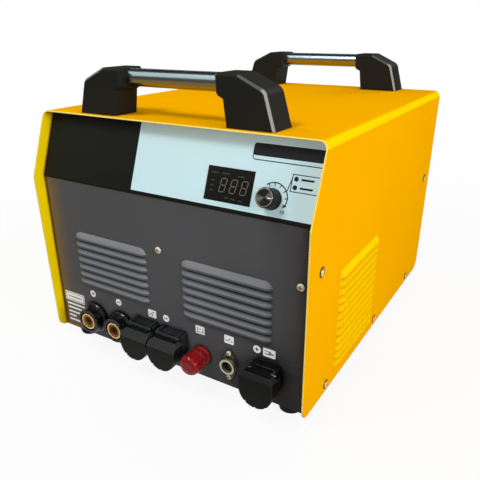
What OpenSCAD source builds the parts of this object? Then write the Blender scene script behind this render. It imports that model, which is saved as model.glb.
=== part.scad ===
// Plasma cutting power source with a built-in air compressor and MMA output.
// Frame: origin on the floor under the centre of the case, +Z up, +X to the right of
// the person who faces the controls, control panel on the -Y side. Millimetres.

/* [Case] */
// Outside width of the folded cover
case_w = 370; // [360:1:400]
// Depth of the cover from its front kink to its rear edge
case_d = 458; // [446:1:500]
// Height of the cover without feet and handles
case_h = 290; // [286:1:310]
// Thickness of the cover, panel and shelf sheet
sheet_t = 1.5; // [1:0.1:2]
// Outside radius of the cover's two top bends
bend_r = 9; // [5:0.5:12]
// Height of the kink in the cover's front edge above its bottom edge
kink_h = 214; // [210:1:218]
// How far the front edge leans back from the kink to the top
lean_back = 29; // [22:1:34]
// How far the front edge runs back from the kink to the bottom
toe_back = 3; // [0:0.5:6]
// Radius of the cover's rear bottom corners
rear_corner_r = 18; // [6:1:24]
// Radius of the cover's front bottom corners
front_corner_r = 12; // [3:1:14]
// How far the front and rear panels sit inside the cover's edges
panel_recess = 15; // [10:0.5:20]
// Depth of the panels' folded side flanges
flange_d = 24; // [20:1:30]
// Gap between the cover and the sheet inside it
seam_gap = 0.3; // [0.2:0.05:0.6]

/* [Base, feet and shelf] */
// Thickness of the base plate
base_t = 2; // [1.5:0.1:3]
// Height of the base plate's side flanges
base_flange_h = 18; // [15:1:24]
// Height of the rubber feet
foot_h = 12; // [8:1:20]
// Diameter of a rubber foot where it meets the base
foot_d = 32; // [24:1:40]
// Distance of a foot's axis from the base plate's side
foot_inset_x = 26.2; // [24:0.1:40]
// Distance of a foot's axis from the base plate's front and rear ends
foot_inset_y = 17; // [17:0.5:40]
// Height of the shelf above the cover's bottom edge
shelf_h = 142; // [140:1:146]

/* [Louvres] */
// Distance between louvre lips
louvre_pitch = 10.2; // [10.1:0.1:12]
// How far a louvre's hood stands out at its lip
louvre_out = 3.5; // [2:0.1:5]
// Height of a louvre's hood above its lip
louvre_rise = 9.8; // [8:0.1:10]
// Wall of a louvre's hood
louvre_wall = 1.2; // [0.8:0.1:1.6]
// Height of the slot behind a hood
louvre_slot = 5.6; // [3:0.1:6]
// Louvres in each block on the front panel
front_louvres = 7; // [1:1:7]
// Length of a front louvre
front_louvre_len = 116; // [60:1:122]
// Distance of a front louvre block's centre from the case's centre
front_louvre_x = 83; // [70:1:90]
// Height of the lowest front louvre's lip above the cover's bottom edge
front_louvre_h = 76; // [74:1:80]
// Louvres on each side of the cover
side_louvres = 12; // [1:1:12]
// Length of a side louvre
side_louvre_len = 126; // [60:1:150]
// Distance of the side louvres' centre ahead of the case's centre
side_louvre_y = 81; // [60:1:90]
// Height of the lowest side louvre's lip above the cover's bottom edge
side_louvre_h = 20.5; // [20:0.5:22]

/* [Handles] */
// Distance from the case's centre to the outer foot of a handle bracket
bracket_foot_out = 128; // [122:1:134]
// Distance from the case's centre to the inner foot of a handle bracket
bracket_foot_in = 73; // [70:1:78]
// Height of a handle bracket
bracket_h = 51; // [46:1:58]
// Depth of a handle bracket from front to rear
bracket_d = 38.5; // [34:0.5:44]
// Bevel along a bracket's front and rear edges
bracket_bevel = 2.5; // [1:0.25:3]
// Distance between the two collars of a handle
collar_span = 121; // [112:1:128]
// Outside diameter of a handle tube
tube_d = 19; // [16:0.5:21]
// Wall of a handle tube
tube_wall = 1.5; // [1:0.1:2.5]
// How deep a handle tube sits in each bracket
tube_seat = 26; // [18:1:34]
// Gap from the cover's top front edge to the front handle
handle_front_gap = 6; // [4:0.5:20]
// Gap from the cover's rear edge to the rear handle
handle_rear_gap = 1; // [0.5:0.5:20]

/* [Control face] */
// Width of the dark part of the face overlay
dark_overlay_w = 143; // [120:1:160]
// Thickness of the face overlay
overlay_t = 0.5; // [0.3:0.1:0.8]
// Distance of the display's centre to the right of the case's centre
display_x = 84.5; // [70:0.5:90]
// Distance of the display's centre above the kink, along the face
display_rise = 24; // [22:0.5:28]
// Width of the display window
window_w = 54; // [46:0.5:56]
// Height of the display window
window_h = 34; // [28:0.5:38]
// Distance of the current knob's axis to the right of the case's centre
knob_x = 134; // [132:0.5:140]
// Distance of the knob's axis above the kink, along the face
knob_rise = 18; // [17:0.5:24]
// Diameter of the current knob
knob_d = 21; // [17:0.5:24]
// Height of the current knob above its running gap
knob_h = 16; // [12:0.5:20]
// Diameter of the potentiometer's shaft
pot_shaft_d = 6; // [5:0.1:7]

/* [Sockets and terminals] */
// Height of the connector row above the cover's bottom edge
row_h = 30; // [29:0.5:32]
// Distance of the positive MMA socket to the left of the case's centre
mma_plus_x = 120; // [118:0.5:124]
// Distance of the negative MMA socket to the left of the case's centre
mma_minus_x = 75; // [73:0.5:76]
// Distance of the inner torch outlet to the left of the case's centre
torch_inner_x = 32; // [31:0.5:33]
// Distance of the external torch outlet to the right of the case's centre
torch_outer_x = 10; // [9:0.5:12]
// Distance of the pilot arc post to the right of the case's centre
post_x = 50; // [49:0.5:52]
// Distance of the trigger socket to the right of the case's centre
trigger_x = 88; // [84:0.5:92]
// Distance of the work terminal to the right of the case's centre
work_x = 137; // [132:0.5:142]
// Bore of the 35 to 50 mm2 cable sockets
socket_bore_d = 13; // [12:0.1:14]
// Outside diameter of the brass of a cable socket
brass_d = 22; // [19:0.5:24]
// Diameter of an MMA socket's flange
mma_flange_d = 41; // [38:0.5:43]
// How far an MMA socket stands out of the panel
mma_reach = 17; // [15:0.5:22]
// Outside diameter of the torch stub
stub_d = 16; // [14:0.5:18]
// Width of a lidded terminal's lid
lid_w = 39.6; // [37:0.2:40.4]
// How far a lidded terminal stands out of the panel
lid_reach = 29; // [26:0.5:34]
// Thickness of a lidded terminal's base
lid_base_t = 11; // [9:0.5:12]
// Wall of a lid
lid_wall = 2.2; // [1.5:0.1:2.6]
// Diameter of a lid's hinge pin
lid_pin_d = 2.4; // [1.8:0.1:2.8]
// Diameter of the pilot arc post's nut
post_nut_d = 25; // [22:0.5:26]
// How far the pilot arc post stands out of the panel
post_reach = 30; // [27:0.5:36]
// Diameter of the pilot arc post's stud
post_stud_d = 6; // [5:0.5:8]
// How far the post's nut can be backed off along its stud
post_travel = 3.75; // [2:0.25:4]
// Diameter of the trigger socket's threaded shell
trigger_d = 19; // [16:0.5:21]
// Distance between the trigger socket's screws
trigger_screw_span = 32; // [30:0.5:34]

/* [Rear panel] */
// Gap from the square fan to the shelf below it and to the cover above it
fan_clear = 12.5; // [12:0.5:18]
// Depth of the fan's frame
fan_depth = 38; // [25:1:42]
// Distance of the fan's axis to the left of the case's centre
fan_x = 62; // [60:1:70]
// Diameter of the fan's hub
fan_hub_d = 44; // [36:1:50]
// Number of fan blades
fan_blades = 7; // [5:1:9]
// Running gap around the fan's blade tips
fan_tip_gap = 1.5; // [1:0.1:3]
// Width of the mains breaker
breaker_w = 54; // [50:1:60]
// Distance of the breaker's centre to the right of the case's centre
breaker_x = 95; // [90:1:105]
// Distance of the breaker's centre below the cover's top
breaker_drop = 65; // [55:1:75]
// Diameter of the hole through the mains cable gland
gland_bore_d = 14; // [10:0.5:16]
// How far the gland and the air inlet reach out of the rear panel
gland_reach = 30; // [24:0.5:36]
// Diameter of the air inlet's hose spigot
inlet_d = 8; // [6:0.5:10]
// Diameter of the earth stud
earth_d = 6; // [5:0.5:8]

/* [Inside] */
// Diameter of the compressor's motor
motor_d = 96; // [80:1:100]
// Length of the compressor's motor
motor_len = 96; // [80:1:110]
// Diameter of a compressor cylinder
cylinder_d = 46; // [36:1:50]
// Diameter of the compressor's cooling fans
comp_fan_d = 84; // [70:1:90]
// Width of the main transformer's core
core_w = 100; // [80:1:110]
// Height of the main transformer's core
core_h = 84; // [70:1:100]
// Outside diameter of the output choke
choke_d = 96; // [80:1:104]
// Width of the heat sink
sink_w = 110; // [96:1:118]
// Length of the heat sink
sink_len = 200; // [160:1:220]
// Fins on the heat sink
sink_fins = 13; // [8:1:15]
// Outside diameter of the air hose
hose_d = 8; // [6:0.5:9]

/* [Fits] */
// Gap under a piece that sits on a curved or moving neighbour
seat_gap = 0.3; // [0.2:0.05:0.4]
// Radial clearance of a turning fit
turn_fit = 0.05; // [0.03:0.01:0.08]
// Radial clearance of a screw or stud in a plain hole
hole_fit = 0.2; // [0.1:0.05:0.3]

/* [Hidden] */
$fn = 64;
eps = 0.01;
edge_fn = 32;

// Case planes
base_z = foot_h;
deck_z = base_z + base_t;
roof_z = base_z + case_h - sheet_t;
top_z = base_z + case_h;
kink_z = base_z + kink_h;
side_x = case_w / 2;
inner_x = side_x - sheet_t;
panel_w = 2 * (inner_x - seam_gap);
front_y = -case_d / 2 + panel_recess;
rear_y = case_d / 2 - panel_recess;
front_in_y = front_y + sheet_t;
rear_in_y = rear_y - sheet_t;
shelf_z = base_z + shelf_h;
shelf_top = shelf_z + sheet_t;
lean = atan(lean_back / (case_h - kink_h));
slope_top = (case_h - sheet_t - 2 * seam_gap - kink_h) / cos(lean);
top_flange_d = 5;

// Louvre arc: a circle whose chord is the hood's rise and whose sagitta is its reach
louvre_r = (pow(louvre_out, 2) + pow(louvre_rise, 2)) / (2 * louvre_out);

// Screws
screw_r = 2;
screw_head_r = 4.2;
screw_head_h = 2.4;
screw_len = 8;
panel_screw_x = [-6, panel_w / 2 - 12.2];
panel_screw_h = 150;
panel_screw_z = base_z + panel_screw_h;
cover_screw_low_y = [-case_d / 2 + 63, 2, case_d / 2 - 69];
cover_screw_low_z = base_z + 10;
cover_screw_high_z = shelf_z + 21;
flange_screw_in = flange_d - 8;

foot_neck_r = 5;

// Handles
collar_x = collar_span / 2;
tube_r = tube_d / 2;
tube_rise = bracket_h - tube_r - 1;
handle_front_y = -case_d / 2 + lean_back + handle_front_gap;
handle_rear_y = case_d / 2 - handle_rear_gap - bracket_d;
bracket_screw_x = [87, 112];
bracket_screw_r = 3;
bracket_screw_in = 15;
bracket_screw_y = [handle_front_y + bracket_d - bracket_screw_in, handle_rear_y + bracket_screw_in];

// Connector row
row_z = base_z + row_h;
brass_r = brass_d / 2;
lid_r = lid_w / 2;
lid_base_r = lid_r - 1.3;
lid_pin_r = lid_pin_d / 2;
knuckle_r = lid_pin_r + 1.8;
torch_pin_y = lid_r + 0.7;
work_pin_y = lid_r - 2.3;
lid_pin_out = lid_base_t + knuckle_r + 0.2;
ear_out = 15.5;
ear_in = 12.5;
ear_gap = 0.6;
heel_gap = 1;
mouth_r = 15;
mouth_d = 5;
lid_gap = 0.4;

// Control face
knob_gap = 0.6;
knob_foot = overlay_t + knob_gap;
bush_r = 4.5;
board_in = 20;
board_t = 1.6;

// Fan
fan_size = roof_z - shelf_top - 2 * fan_clear;
fan_hole_r = fan_size / 2 - 4;
fan_bolt = fan_size / 2 - 7.5;
fan_z = (shelf_top + roof_z) / 2;

// Breaker
breaker_z = top_z - breaker_drop;
breaker_h = 45;
breaker_out = 7;
breaker_case_h = 80;
breaker_case_d = 58;

// Rear fittings
gland_x = side_x - 55;
gland_z = base_z + 60;
gland_thread_r = gland_bore_d / 2 + 3;
inlet_thread_r = 6;
earth_x = 20;
earth_z = base_z + 40;
fan_bore_r = fan_size / 2 - 3;
guard_wire_r = 1.3;
guard_ear_t = 2 * guard_wire_r;
pivot_in = 3;
lever_r = 5;
lever_reach = 13;

// Compressor: a motor along Y with a crankcase, a cylinder and a fan at each end
comp_x = side_x - 105;
comp_y = 36;
mount_h = 14;
comp_foot_z = deck_z + mount_h;
motor_z = comp_foot_z + motor_d / 2 - 8;
crank_w = 68;
crank_len = cylinder_d;
crank_y = motor_len / 2 + crank_len / 2;
head_w = 56;
head_h = 14;
head_top_z = shelf_z - 3;
head_mid_z = head_top_z - head_h / 2;
comp_shaft_r = 6;
comp_fan_t = 14;
comp_fan_y = motor_len / 2 + crank_len + 2;

// Air way
manifold_x = (torch_outer_x - torch_inner_x) / 2;
manifold_y = front_y + 70;
hose_bend = 16;
hose_drop_x = 4;

// Polylines and directions -----------------------------------------------------------

function unit(v) = v / norm(v);

// Centre of the fillet of radius r at corner b of the outline a, b, c
function fillet_centre(a, b, c, r) =
    let (u = unit(a - b), v = unit(c - b), half = acos(u * v) / 2)
    b + unit(u + v) * r / sin(half);

// Point on the sloping face, s along the slope and o outside the panel's face
function slope_pt(s, o) = [front_y + s * sin(lean) - o * cos(lean),
    kink_z + s * cos(lean) + o * sin(lean)];

// Line parallel to the panel's face, o outside it, from height z0 to slope distance s1
function face_line(o, z0, s1) = [[front_y - o, z0], [front_y - o, kink_z + o * tan(lean / 2)],
    slope_pt(s1, o)];

function reversed(list) = [for (i = [len(list) - 1:-1:0]) list[i]];

// Extrudes a drawing of Y across and Z up along X
module along_x(w) {
    rotate([90, 0, 90]) translate([0, 0, -w / 2]) linear_extrude(w) children();
}

// Places children on the front panel: X across, Y up, Z out of the panel
module on_front(x, z) {
    translate([x, front_y, z]) rotate([90, 0, 0]) children();
}

// Places children on the rear panel: X to the left, Y up, Z out of the panel
module on_rear(x, z) {
    translate([x, rear_y, z]) rotate([90, 0, 180]) children();
}

// Places children on the sloping face: X across, Y up the slope, Z out of the panel
module on_slope(x, s) {
    translate([x, slope_pt(s, 0)[0], slope_pt(s, 0)[1]]) rotate([90 - lean, 0, 0]) children();
}

// Places children on a side of the cover: Y up, Z out of the cover
module on_side(side, y, z) {
    translate([side * side_x, y, z]) rotate([90, 0, 90 * side]) children();
}

// Block with its base centred on the origin
module block(w, d, h) {
    translate([-w / 2, -d / 2, 0]) cube([w, d, h]);
}

module tube_ring(r_out, r_in, h) {
    difference() {
        cylinder(h = h, r = r_out);
        translate([0, 0, -1]) cylinder(h = h + 2, r = r_in);
    }
}

// Louvres -----------------------------------------------------------------------------

// Long capsule along X, rounded at both ends
module capsule(length, r) {
    rotate([0, 90, 0]) rotate_extrude() intersection() {
        union() {
            translate([-r, -length / 2]) square([2 * r, length]);
            for (s = [-1, 1]) translate([0, s * length / 2]) circle(r);
        }
        translate([0, -length / 2 - r]) square([r + 1, length + 2 * r]);
    }
}

module hood(length, r) {
    span = length - 2 * louvre_rise;
    intersection() {
        translate([0, 0, louvre_out - louvre_r]) capsule(span, r);
        translate([-length, 0, -sheet_t / 2]) cube([2 * length, 2 * louvre_rise, 2 * louvre_out]);
    }
}

module hood_hollow(length) {
    r = louvre_r - louvre_wall;
    span = length - 2 * louvre_rise;
    lip = 0.8;
    intersection() {
        translate([0, 0, louvre_out - louvre_r]) capsule(span, r);
        translate([-length, -lip, -0.1]) cube([2 * length, 2 * louvre_rise, 2 * louvre_out]);
    }
    translate([-span / 2 - louvre_slot, -lip, -2 * sheet_t])
        cube([span + 2 * louvre_slot, louvre_slot + lip, 2 * sheet_t]);
}

module louvre_rows(count) {
    for (i = [0:count - 1]) translate([0, i * louvre_pitch, 0]) children();
}

// Cover -------------------------------------------------------------------------------

module bent_section(w, h, r) {
    translate([-w / 2, 0]) square([w, h - r]);
    translate([-w / 2 + r, 0]) square([w - 2 * r, h]);
    for (s = [-1, 1]) translate([s * (w / 2 - r), h - r]) circle(r);
}

// What a corner of radius r loses, for a corner at the origin that opens to +X +Y
module corner_waste(r) {
    difference() {
        translate([-1, -1]) square(r + 1);
        translate([r, r]) circle(r);
    }
}

module side_outline() {
    difference() {
        polygon([[-case_d / 2 + toe_back, base_z], [case_d / 2, base_z],
            [case_d / 2, top_z + 1], [-case_d / 2 + lean_back, top_z + 1],
            [-case_d / 2 + lean_back, top_z], [-case_d / 2, kink_z]]);
        translate([case_d / 2, base_z]) mirror([1, 0]) corner_waste(rear_corner_r);
        translate([-case_d / 2 + toe_back, base_z]) corner_waste(front_corner_r);
    }
}

module side_screw_places() {
    for (s = [-1, 1]) {
        for (y = cover_screw_low_y) on_side(s, y, cover_screw_low_z) children();
        for (y = [front_y + flange_screw_in, rear_y - flange_screw_in])
            on_side(s, y, cover_screw_high_z) children();
    }
}

module bracket_screw_places() {
    for (y = bracket_screw_y, x = bracket_screw_x, s = [-1, 1])
        translate([s * x, y, top_z]) children();
}

module cover() color("gold") difference() {
    union() {
        intersection() {
            translate([0, case_d / 2, base_z]) rotate([90, 0, 0]) linear_extrude(case_d)
                difference() {
                    bent_section(case_w, case_h, bend_r);
                    translate([0, -1])
                        bent_section(2 * inner_x, case_h - sheet_t + 1, bend_r - sheet_t);
                }
            along_x(case_w + 2) side_outline();
        }
        for (s = [-1, 1]) on_side(s, -side_louvre_y, base_z + side_louvre_h)
            louvre_rows(side_louvres) hood(side_louvre_len, louvre_r);
    }
    for (s = [-1, 1]) on_side(s, -side_louvre_y, base_z + side_louvre_h)
        louvre_rows(side_louvres) hood_hollow(side_louvre_len);
    side_screw_places() translate([0, 0, -2 * sheet_t])
        cylinder(h = 4 * sheet_t, r = screw_r + hole_fit);
    bracket_screw_places() translate([0, 0, -2 * sheet_t])
        cylinder(h = 4 * sheet_t, r = bracket_screw_r + hole_fit);
}

// Base, shelf and panels --------------------------------------------------------------

module foot_places() {
    for (x = [-1, 1], y = [-1, 1])
        translate([x * (panel_w / 2 - foot_inset_x), y * (rear_in_y - foot_inset_y), 0])
            children();
}

module chassis_base() color("dimgray") difference() {
    depth = rear_in_y - front_in_y;
    side_len = depth - 2 * flange_d;
    union() {
        translate([0, 0, base_z]) block(panel_w, depth, base_t);
        for (s = [-1, 1]) {
            translate([s * (panel_w / 2 - base_t / 2), 0, base_z])
                block(base_t, side_len, base_flange_h);
            translate([0, s * (depth / 2 - base_t / 2), base_z])
                block(panel_w - 2 * sheet_t - 2 * seam_gap, base_t, 10);
        }
    }
    side_screw_places() translate([0, 0, -12]) cylinder(h = 14, r = screw_r + hole_fit);
    foot_places() cylinder(h = deck_z + 1, r = foot_neck_r + hole_fit);
}

// Everything that clears the inside of the cover by gap
module under_cover(gap) {
    translate([0, case_d / 2, base_z]) rotate([90, 0, 0]) linear_extrude(case_d)
        bent_section(2 * (inner_x - gap), case_h - sheet_t - gap, bend_r - sheet_t - gap);
}

module panel_pan() {
    difference() {
        intersection() {
            along_x(panel_w)
                polygon(concat(face_line(0, base_z, slope_top),
                    reversed(face_line(-flange_d, base_z, slope_top))));
            under_cover(seam_gap);
        }
        along_x(panel_w - 2 * sheet_t)
            polygon(concat(face_line(-top_flange_d, kink_z, slope_top + 2),
                reversed(face_line(-flange_d - 1, kink_z, slope_top + 2))));
        along_x(panel_w - 2 * sheet_t)
            polygon(concat(face_line(-sheet_t, base_z - 1, slope_top - sheet_t),
                reversed(face_line(-flange_d - 1, base_z - 1, slope_top - sheet_t))));
        translate([0, front_in_y + flange_d, base_z - 1])
            block(panel_w + 2, 2 * flange_d, base_t + 1);
    }
}

module front_louvre_places() {
    for (s = [-1, 1]) on_front(s * front_louvre_x, base_z + front_louvre_h)
        louvre_rows(front_louvres) children();
}

module front_panel() color("dimgray") difference() {
    union() {
        panel_pan();
        front_louvre_places() hood(front_louvre_len, louvre_r);
    }
    front_louvre_places() hood_hollow(front_louvre_len);
    panel_hole(-mma_plus_x, mma_hole_r);
    panel_hole(-mma_minus_x, mma_hole_r);
    panel_hole(-torch_inner_x, lid_hole_r);
    panel_hole(torch_outer_x, lid_hole_r);
    panel_hole(work_x, lid_hole_r);
    panel_hole(post_x, post_hole_r);
    panel_hole(trigger_x, trigger_hole_r);
    for (s = [-1, 1]) on_front(trigger_x, row_z + s * trigger_screw_span / 2)
        translate([0, 0, -2 * sheet_t]) cylinder(h = 4 * sheet_t, r = 1.5 + hole_fit);
    for (x = panel_screw_x) on_front(x, panel_screw_z)
        translate([0, 0, -2 * sheet_t]) cylinder(h = 4 * sheet_t, r = screw_r + hole_fit);
    on_slope(display_x, display_rise) translate([0, 0, -2 * sheet_t])
        block(window_w - 8, window_h - 8, 4 * sheet_t);
    on_slope(knob_x, knob_rise) translate([0, 0, -2 * sheet_t])
        cylinder(h = 4 * sheet_t, r = bush_r + hole_fit);
    side_screw_places() translate([0, 0, -12]) cylinder(h = 14, r = screw_r + hole_fit);
}

module panel_hole(x, r) {
    on_front(x, row_z) translate([0, 0, -2 * sheet_t]) cylinder(h = 4 * sheet_t, r = r);
}

module rear_panel() color("dimgray") difference() {
    intersection() {
        translate([-panel_w / 2, rear_y - flange_d, base_z])
            cube([panel_w, flange_d, case_h - sheet_t - seam_gap]);
        under_cover(seam_gap);
    }
    translate([0, rear_y - flange_d, base_z]) {
        translate([-panel_w / 2 + sheet_t, -1, -1])
            cube([panel_w - 2 * sheet_t, flange_d - sheet_t + 1, case_h - 2 * sheet_t - seam_gap + 1]);
        translate([-panel_w, -1, -1]) cube([2 * panel_w, flange_d - sheet_t + 1, base_t + 1]);
    }
    rear_hole(-fan_x, fan_z, fan_hole_r);
    fan_bolt_places() translate([0, 0, -2 * sheet_t])
        cylinder(h = 4 * sheet_t, r = screw_r + hole_fit);
    on_rear(breaker_x, breaker_z) translate([0, -breaker_h / 2 - seam_gap, -2 * sheet_t])
        translate([-breaker_w / 2 - seam_gap, 0, 0])
        cube([breaker_w + 2 * seam_gap, breaker_h + 2 * seam_gap, 4 * sheet_t]);
    rear_hole(gland_x, gland_z, gland_thread_r + hole_fit);
    rear_hole(comp_x, head_mid_z, inlet_thread_r + hole_fit);
    rear_hole(earth_x, earth_z, earth_d / 2 + hole_fit);
    for (x = panel_screw_x) on_rear(-x, panel_screw_z)
        translate([0, 0, -2 * sheet_t]) cylinder(h = 4 * sheet_t, r = screw_r + hole_fit);
    side_screw_places() translate([0, 0, -12]) cylinder(h = 14, r = screw_r + hole_fit);
    bracket_screw_places() translate([0, 0, -12]) cylinder(h = 12, r = 6);
}

module rear_hole(x, z, r) {
    on_rear(x, z) translate([0, 0, -2 * sheet_t]) cylinder(h = 4 * sheet_t, r = r);
}

// Shelf between the compressor deck and the power electronics
module inner_shelf() color("silver") difference() {
    depth = rear_in_y - front_in_y;
    width = panel_w - 2 * sheet_t - 2 * seam_gap;
    flange_h = panel_screw_h - shelf_h + 2 * screw_r;
    leg_w = 60;
    pass_w = 60;
    leg_x = panel_w / 2 - base_t - seam_gap - sheet_t / 2;
    union() {
        translate([0, 0, shelf_z]) block(width, depth, sheet_t);
        for (s = [-1, 1]) {
            translate([0, s * (depth - sheet_t) / 2, shelf_z])
                block(width, sheet_t, flange_h);
            translate([s * leg_x, leg_w, deck_z]) block(sheet_t, leg_w, shelf_top - deck_z);
        }
    }
    for (x = panel_screw_x) {
        on_front(x, panel_screw_z) translate([0, 0, -12])
            cylinder(h = 14, r = screw_r + hole_fit);
        on_rear(-x, panel_screw_z) translate([0, 0, -12])
            cylinder(h = 14, r = screw_r + hole_fit);
    }
    // Wiring and air way to the upper deck
    translate([-pass_w / 3, front_in_y + 42, shelf_z - 1]) cube([pass_w, pass_w / 2, sheet_t + 2]);
}

// Control face ------------------------------------------------------------------------

overlay_edge = 1;
overlay_split = -panel_w / 2 + dark_overlay_w;
overlay_right = panel_w / 2 - overlay_edge;
strip_h = 2.5;
strip_s = 1.6;
overlay_top_s = slope_top - 1.5;

// Dark badge field on the left, with the narrow strip that runs under the light field
module overlay_dark() color([0.1, 0.1, 0.1]) intersection() {
    under_cover(seam_gap + overlay_edge);
    overlay_dark_sheet();
}

module overlay_dark_sheet() {
    left = -panel_w / 2 + overlay_edge;
    full = overlay_right - left;
    translate([left + full / 2, 0, 0]) along_x(full)
        polygon(concat(face_line(overlay_t, kink_z - strip_h, strip_s),
            reversed(face_line(0, kink_z - strip_h, strip_s))));
    field = overlay_split - left;
    field_s = strip_s / 2;
    on_slope(left + field / 2, (field_s + overlay_top_s) / 2)
        block(field, overlay_top_s - field_s, overlay_t);
}

module overlay_light() color([0.8, 0.9, 0.92]) difference() {
    field = overlay_right - overlay_split;
    intersection() {
        under_cover(seam_gap + overlay_edge);
        on_slope(overlay_split + field / 2, (strip_s + overlay_top_s) / 2)
            block(field, overlay_top_s - strip_s, overlay_t);
    }
    on_slope(display_x, display_rise) translate([0, 0, -1])
        block(window_w + 2 * seam_gap, window_h + 2 * seam_gap, overlay_t + 2);
    on_slope(knob_x, knob_rise) translate([0, 0, -1])
        cylinder(h = overlay_t + 2, r = nut_r(bush_r) + 1);
}

module display_window() color([0.05, 0.05, 0.05]) {
    on_slope(display_x, display_rise) block(window_w, window_h, overlay_t + 0.4);
}

// Three-digit module that looks through the panel's cut-out
module display_module() color([0.2, 0.2, 0.2]) {
    w = window_w - 10;
    h = window_h - 10;
    depth = board_in - board_t - 0.6 - seat_gap;
    on_slope(display_x, display_rise) translate([0, 0, -0.6 - depth]) {
        block(w, h, depth - 1.5);
        for (i = [-1, 0, 1]) translate([i * w / 3, 0, depth - 1.5]) block(w / 3 - 1, h - 2, 1.5);
    }
}

// Board behind the display and the potentiometer, on four pillars
module control_board() color("darkgreen") {
    w = knob_x - display_x + 82;
    h = slope_top - 15;
    on_slope((display_x + knob_x) / 2, h / 2 + 6) translate([0, 0, -board_in]) {
        block(w, h, board_t);
        for (x = [-1, 1], y = [-1, 1]) translate([x * (w / 2 - 5), y * (h / 2 - 5), 0])
            cylinder(h = board_in - sheet_t, r = 3);
    }
}

function nut_r(r) = 1.6 * r;

module hex_nut(r_thread, h) {
    difference() {
        cylinder(h = h, r = nut_r(r_thread), $fn = 6);
        translate([0, 0, -1]) cylinder(h = h + 2, r = r_thread + turn_fit, $fn = 64);
    }
}

// Potentiometer: can, bush through the panel and fixing nut
module current_pot() color("silver") {
    body_h = board_in - board_t - sheet_t - 1;
    on_slope(knob_x, knob_rise) difference() {
        union() {
            translate([0, 0, -sheet_t - body_h]) cylinder(h = body_h, r = 8);
            translate([0, 0, -sheet_t - eps]) cylinder(h = sheet_t + 6, r = bush_r);
            translate([0, 0, 0]) cylinder(h = 2, r = nut_r(bush_r), $fn = 6);
        }
        translate([0, 0, -sheet_t - body_h / 2])
            cylinder(h = body_h + 10, r = pot_shaft_d / 2 + turn_fit);
    }
}

module pot_shaft() color("silver") {
    low = sheet_t + (board_in - board_t - sheet_t - 1) / 2 - seat_gap;
    on_slope(knob_x, knob_rise) translate([0, 0, -low])
        cylinder(h = low + knob_foot + knob_h - 4, r = pot_shaft_d / 2);
}

// Fluted knob with a recess over the fixing nut and a bore for the shaft
module current_knob() color([0.08, 0.08, 0.08]) {
    r = knob_d / 2;
    flutes = 24;
    trim_r = r - 1.4;
    on_slope(knob_x, knob_rise) translate([0, 0, knob_foot]) difference() {
        rotate_extrude() polygon([[0, 0], [r, 0], [r, 1.5], [r - 0.5, 2], [r - 0.8, knob_h - 1],
            [r - 1.4, knob_h - 0.4], [r - 1.4, knob_h], [0, knob_h]]);
        for (i = [0:flutes - 1]) rotate(i * 360 / flutes) translate([r + 0.1, 0, 3])
            cylinder(h = knob_h - 6, r = 0.6, $fn = 24);
        translate([0, 0, -1]) cylinder(h = 7, r = nut_r(bush_r) + 0.6);
        translate([0, 0, -1]) cylinder(h = knob_h - 3 + 0.7, r = pot_shaft_d / 2 + 0.02);
        translate([0, 0, knob_h - 0.8]) tube_ring(trim_r - 0.3, trim_r - 1.1, 2);
        translate([3, -0.5, knob_h - 0.5]) cube([trim_r - 4.6, 1, 1]);
    }
}

// Bright ring let into the knob's face
module knob_trim() color("silver") {
    trim_r = knob_d / 2 - 1.4;
    on_slope(knob_x, knob_rise) translate([0, 0, knob_foot + knob_h - 0.8])
        tube_ring(trim_r - 0.3, trim_r - 1.1, 1.1);
}

// Sockets and terminals ---------------------------------------------------------------

stud_r = 5;
barrel_r = 13;
mma_hole_r = barrel_r + hole_fit;
lid_hole_r = barrel_r + hole_fit;
post_hole_r = 6 + hole_fit;
trigger_hole_r = trigger_d / 2 - 1 + hole_fit;
shell_back = 9;
stud_back = 27;
barb_r = 3;
barb_len = 10;
gas_r = 1.8;
washer_t = 1;

// Insulating shell of an MMA socket: flange, collar and barrel through the panel
module mma_shell(x) {
    flange_r = mma_flange_d / 2;
    collar_r = flange_r - 3;
    on_front(x, row_z) difference() {
        union() {
            rotate_extrude() polygon([[brass_r, 0], [flange_r, 0], [flange_r, 4],
                [flange_r - 1, 5.5], [collar_r, 6.5], [collar_r - 1, mma_reach - 1],
                [collar_r - 2, mma_reach], [brass_r, mma_reach]]);
            translate([0, 0, -shell_back]) cylinder(h = shell_back + 2, r = barrel_r);
        }
        translate([0, 0, -shell_back - 1])
            cylinder(h = shell_back + mma_reach + 2, r = brass_r + hole_fit / 2);
        translate([0, 0, mma_reach - 3]) tube_ring(brass_r + 2.2, brass_r - 1, 4);
        for (a = [35, 215]) rotate(a) translate([brass_r + 1, -2, mma_reach - 5])
            cube([collar_r, 4, 6]);
    }
}

module mma_shell_positive() color([0.1, 0.1, 0.1]) mma_shell(-mma_plus_x);

module mma_shell_negative() color([0.1, 0.1, 0.1]) mma_shell(-mma_minus_x);

// Brass of a 35 to 50 mm2 cable socket: bore with a keyway, bayonet groove, rear stud
module cable_contact(reach) {
    bore_r = socket_bore_d / 2;
    back = shell_back + 2;
    groove_end = 3.5;
    difference() {
        union() {
            translate([0, 0, -back]) cylinder(h = back + reach, r = brass_r);
            translate([0, 0, -stud_back]) cylinder(h = stud_back - back + 1, r = stud_r);
        }
        translate([0, 0, groove_end]) cylinder(h = reach, r = bore_r);
        translate([0, 0, -back + 3]) cylinder(h = back - 3 + groove_end, r = bore_r + 2);
        translate([-2, 0, groove_end]) cube([4, bore_r + 2, reach]);
    }
}

module socket_contacts() color("goldenrod") {
    for (x = [-mma_plus_x, -mma_minus_x]) on_front(x, row_z) cable_contact(mma_reach - 0.5);
    on_front(work_x, row_z) cable_contact(contact_reach);
}

contact_reach = lid_base_t + 5;

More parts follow.
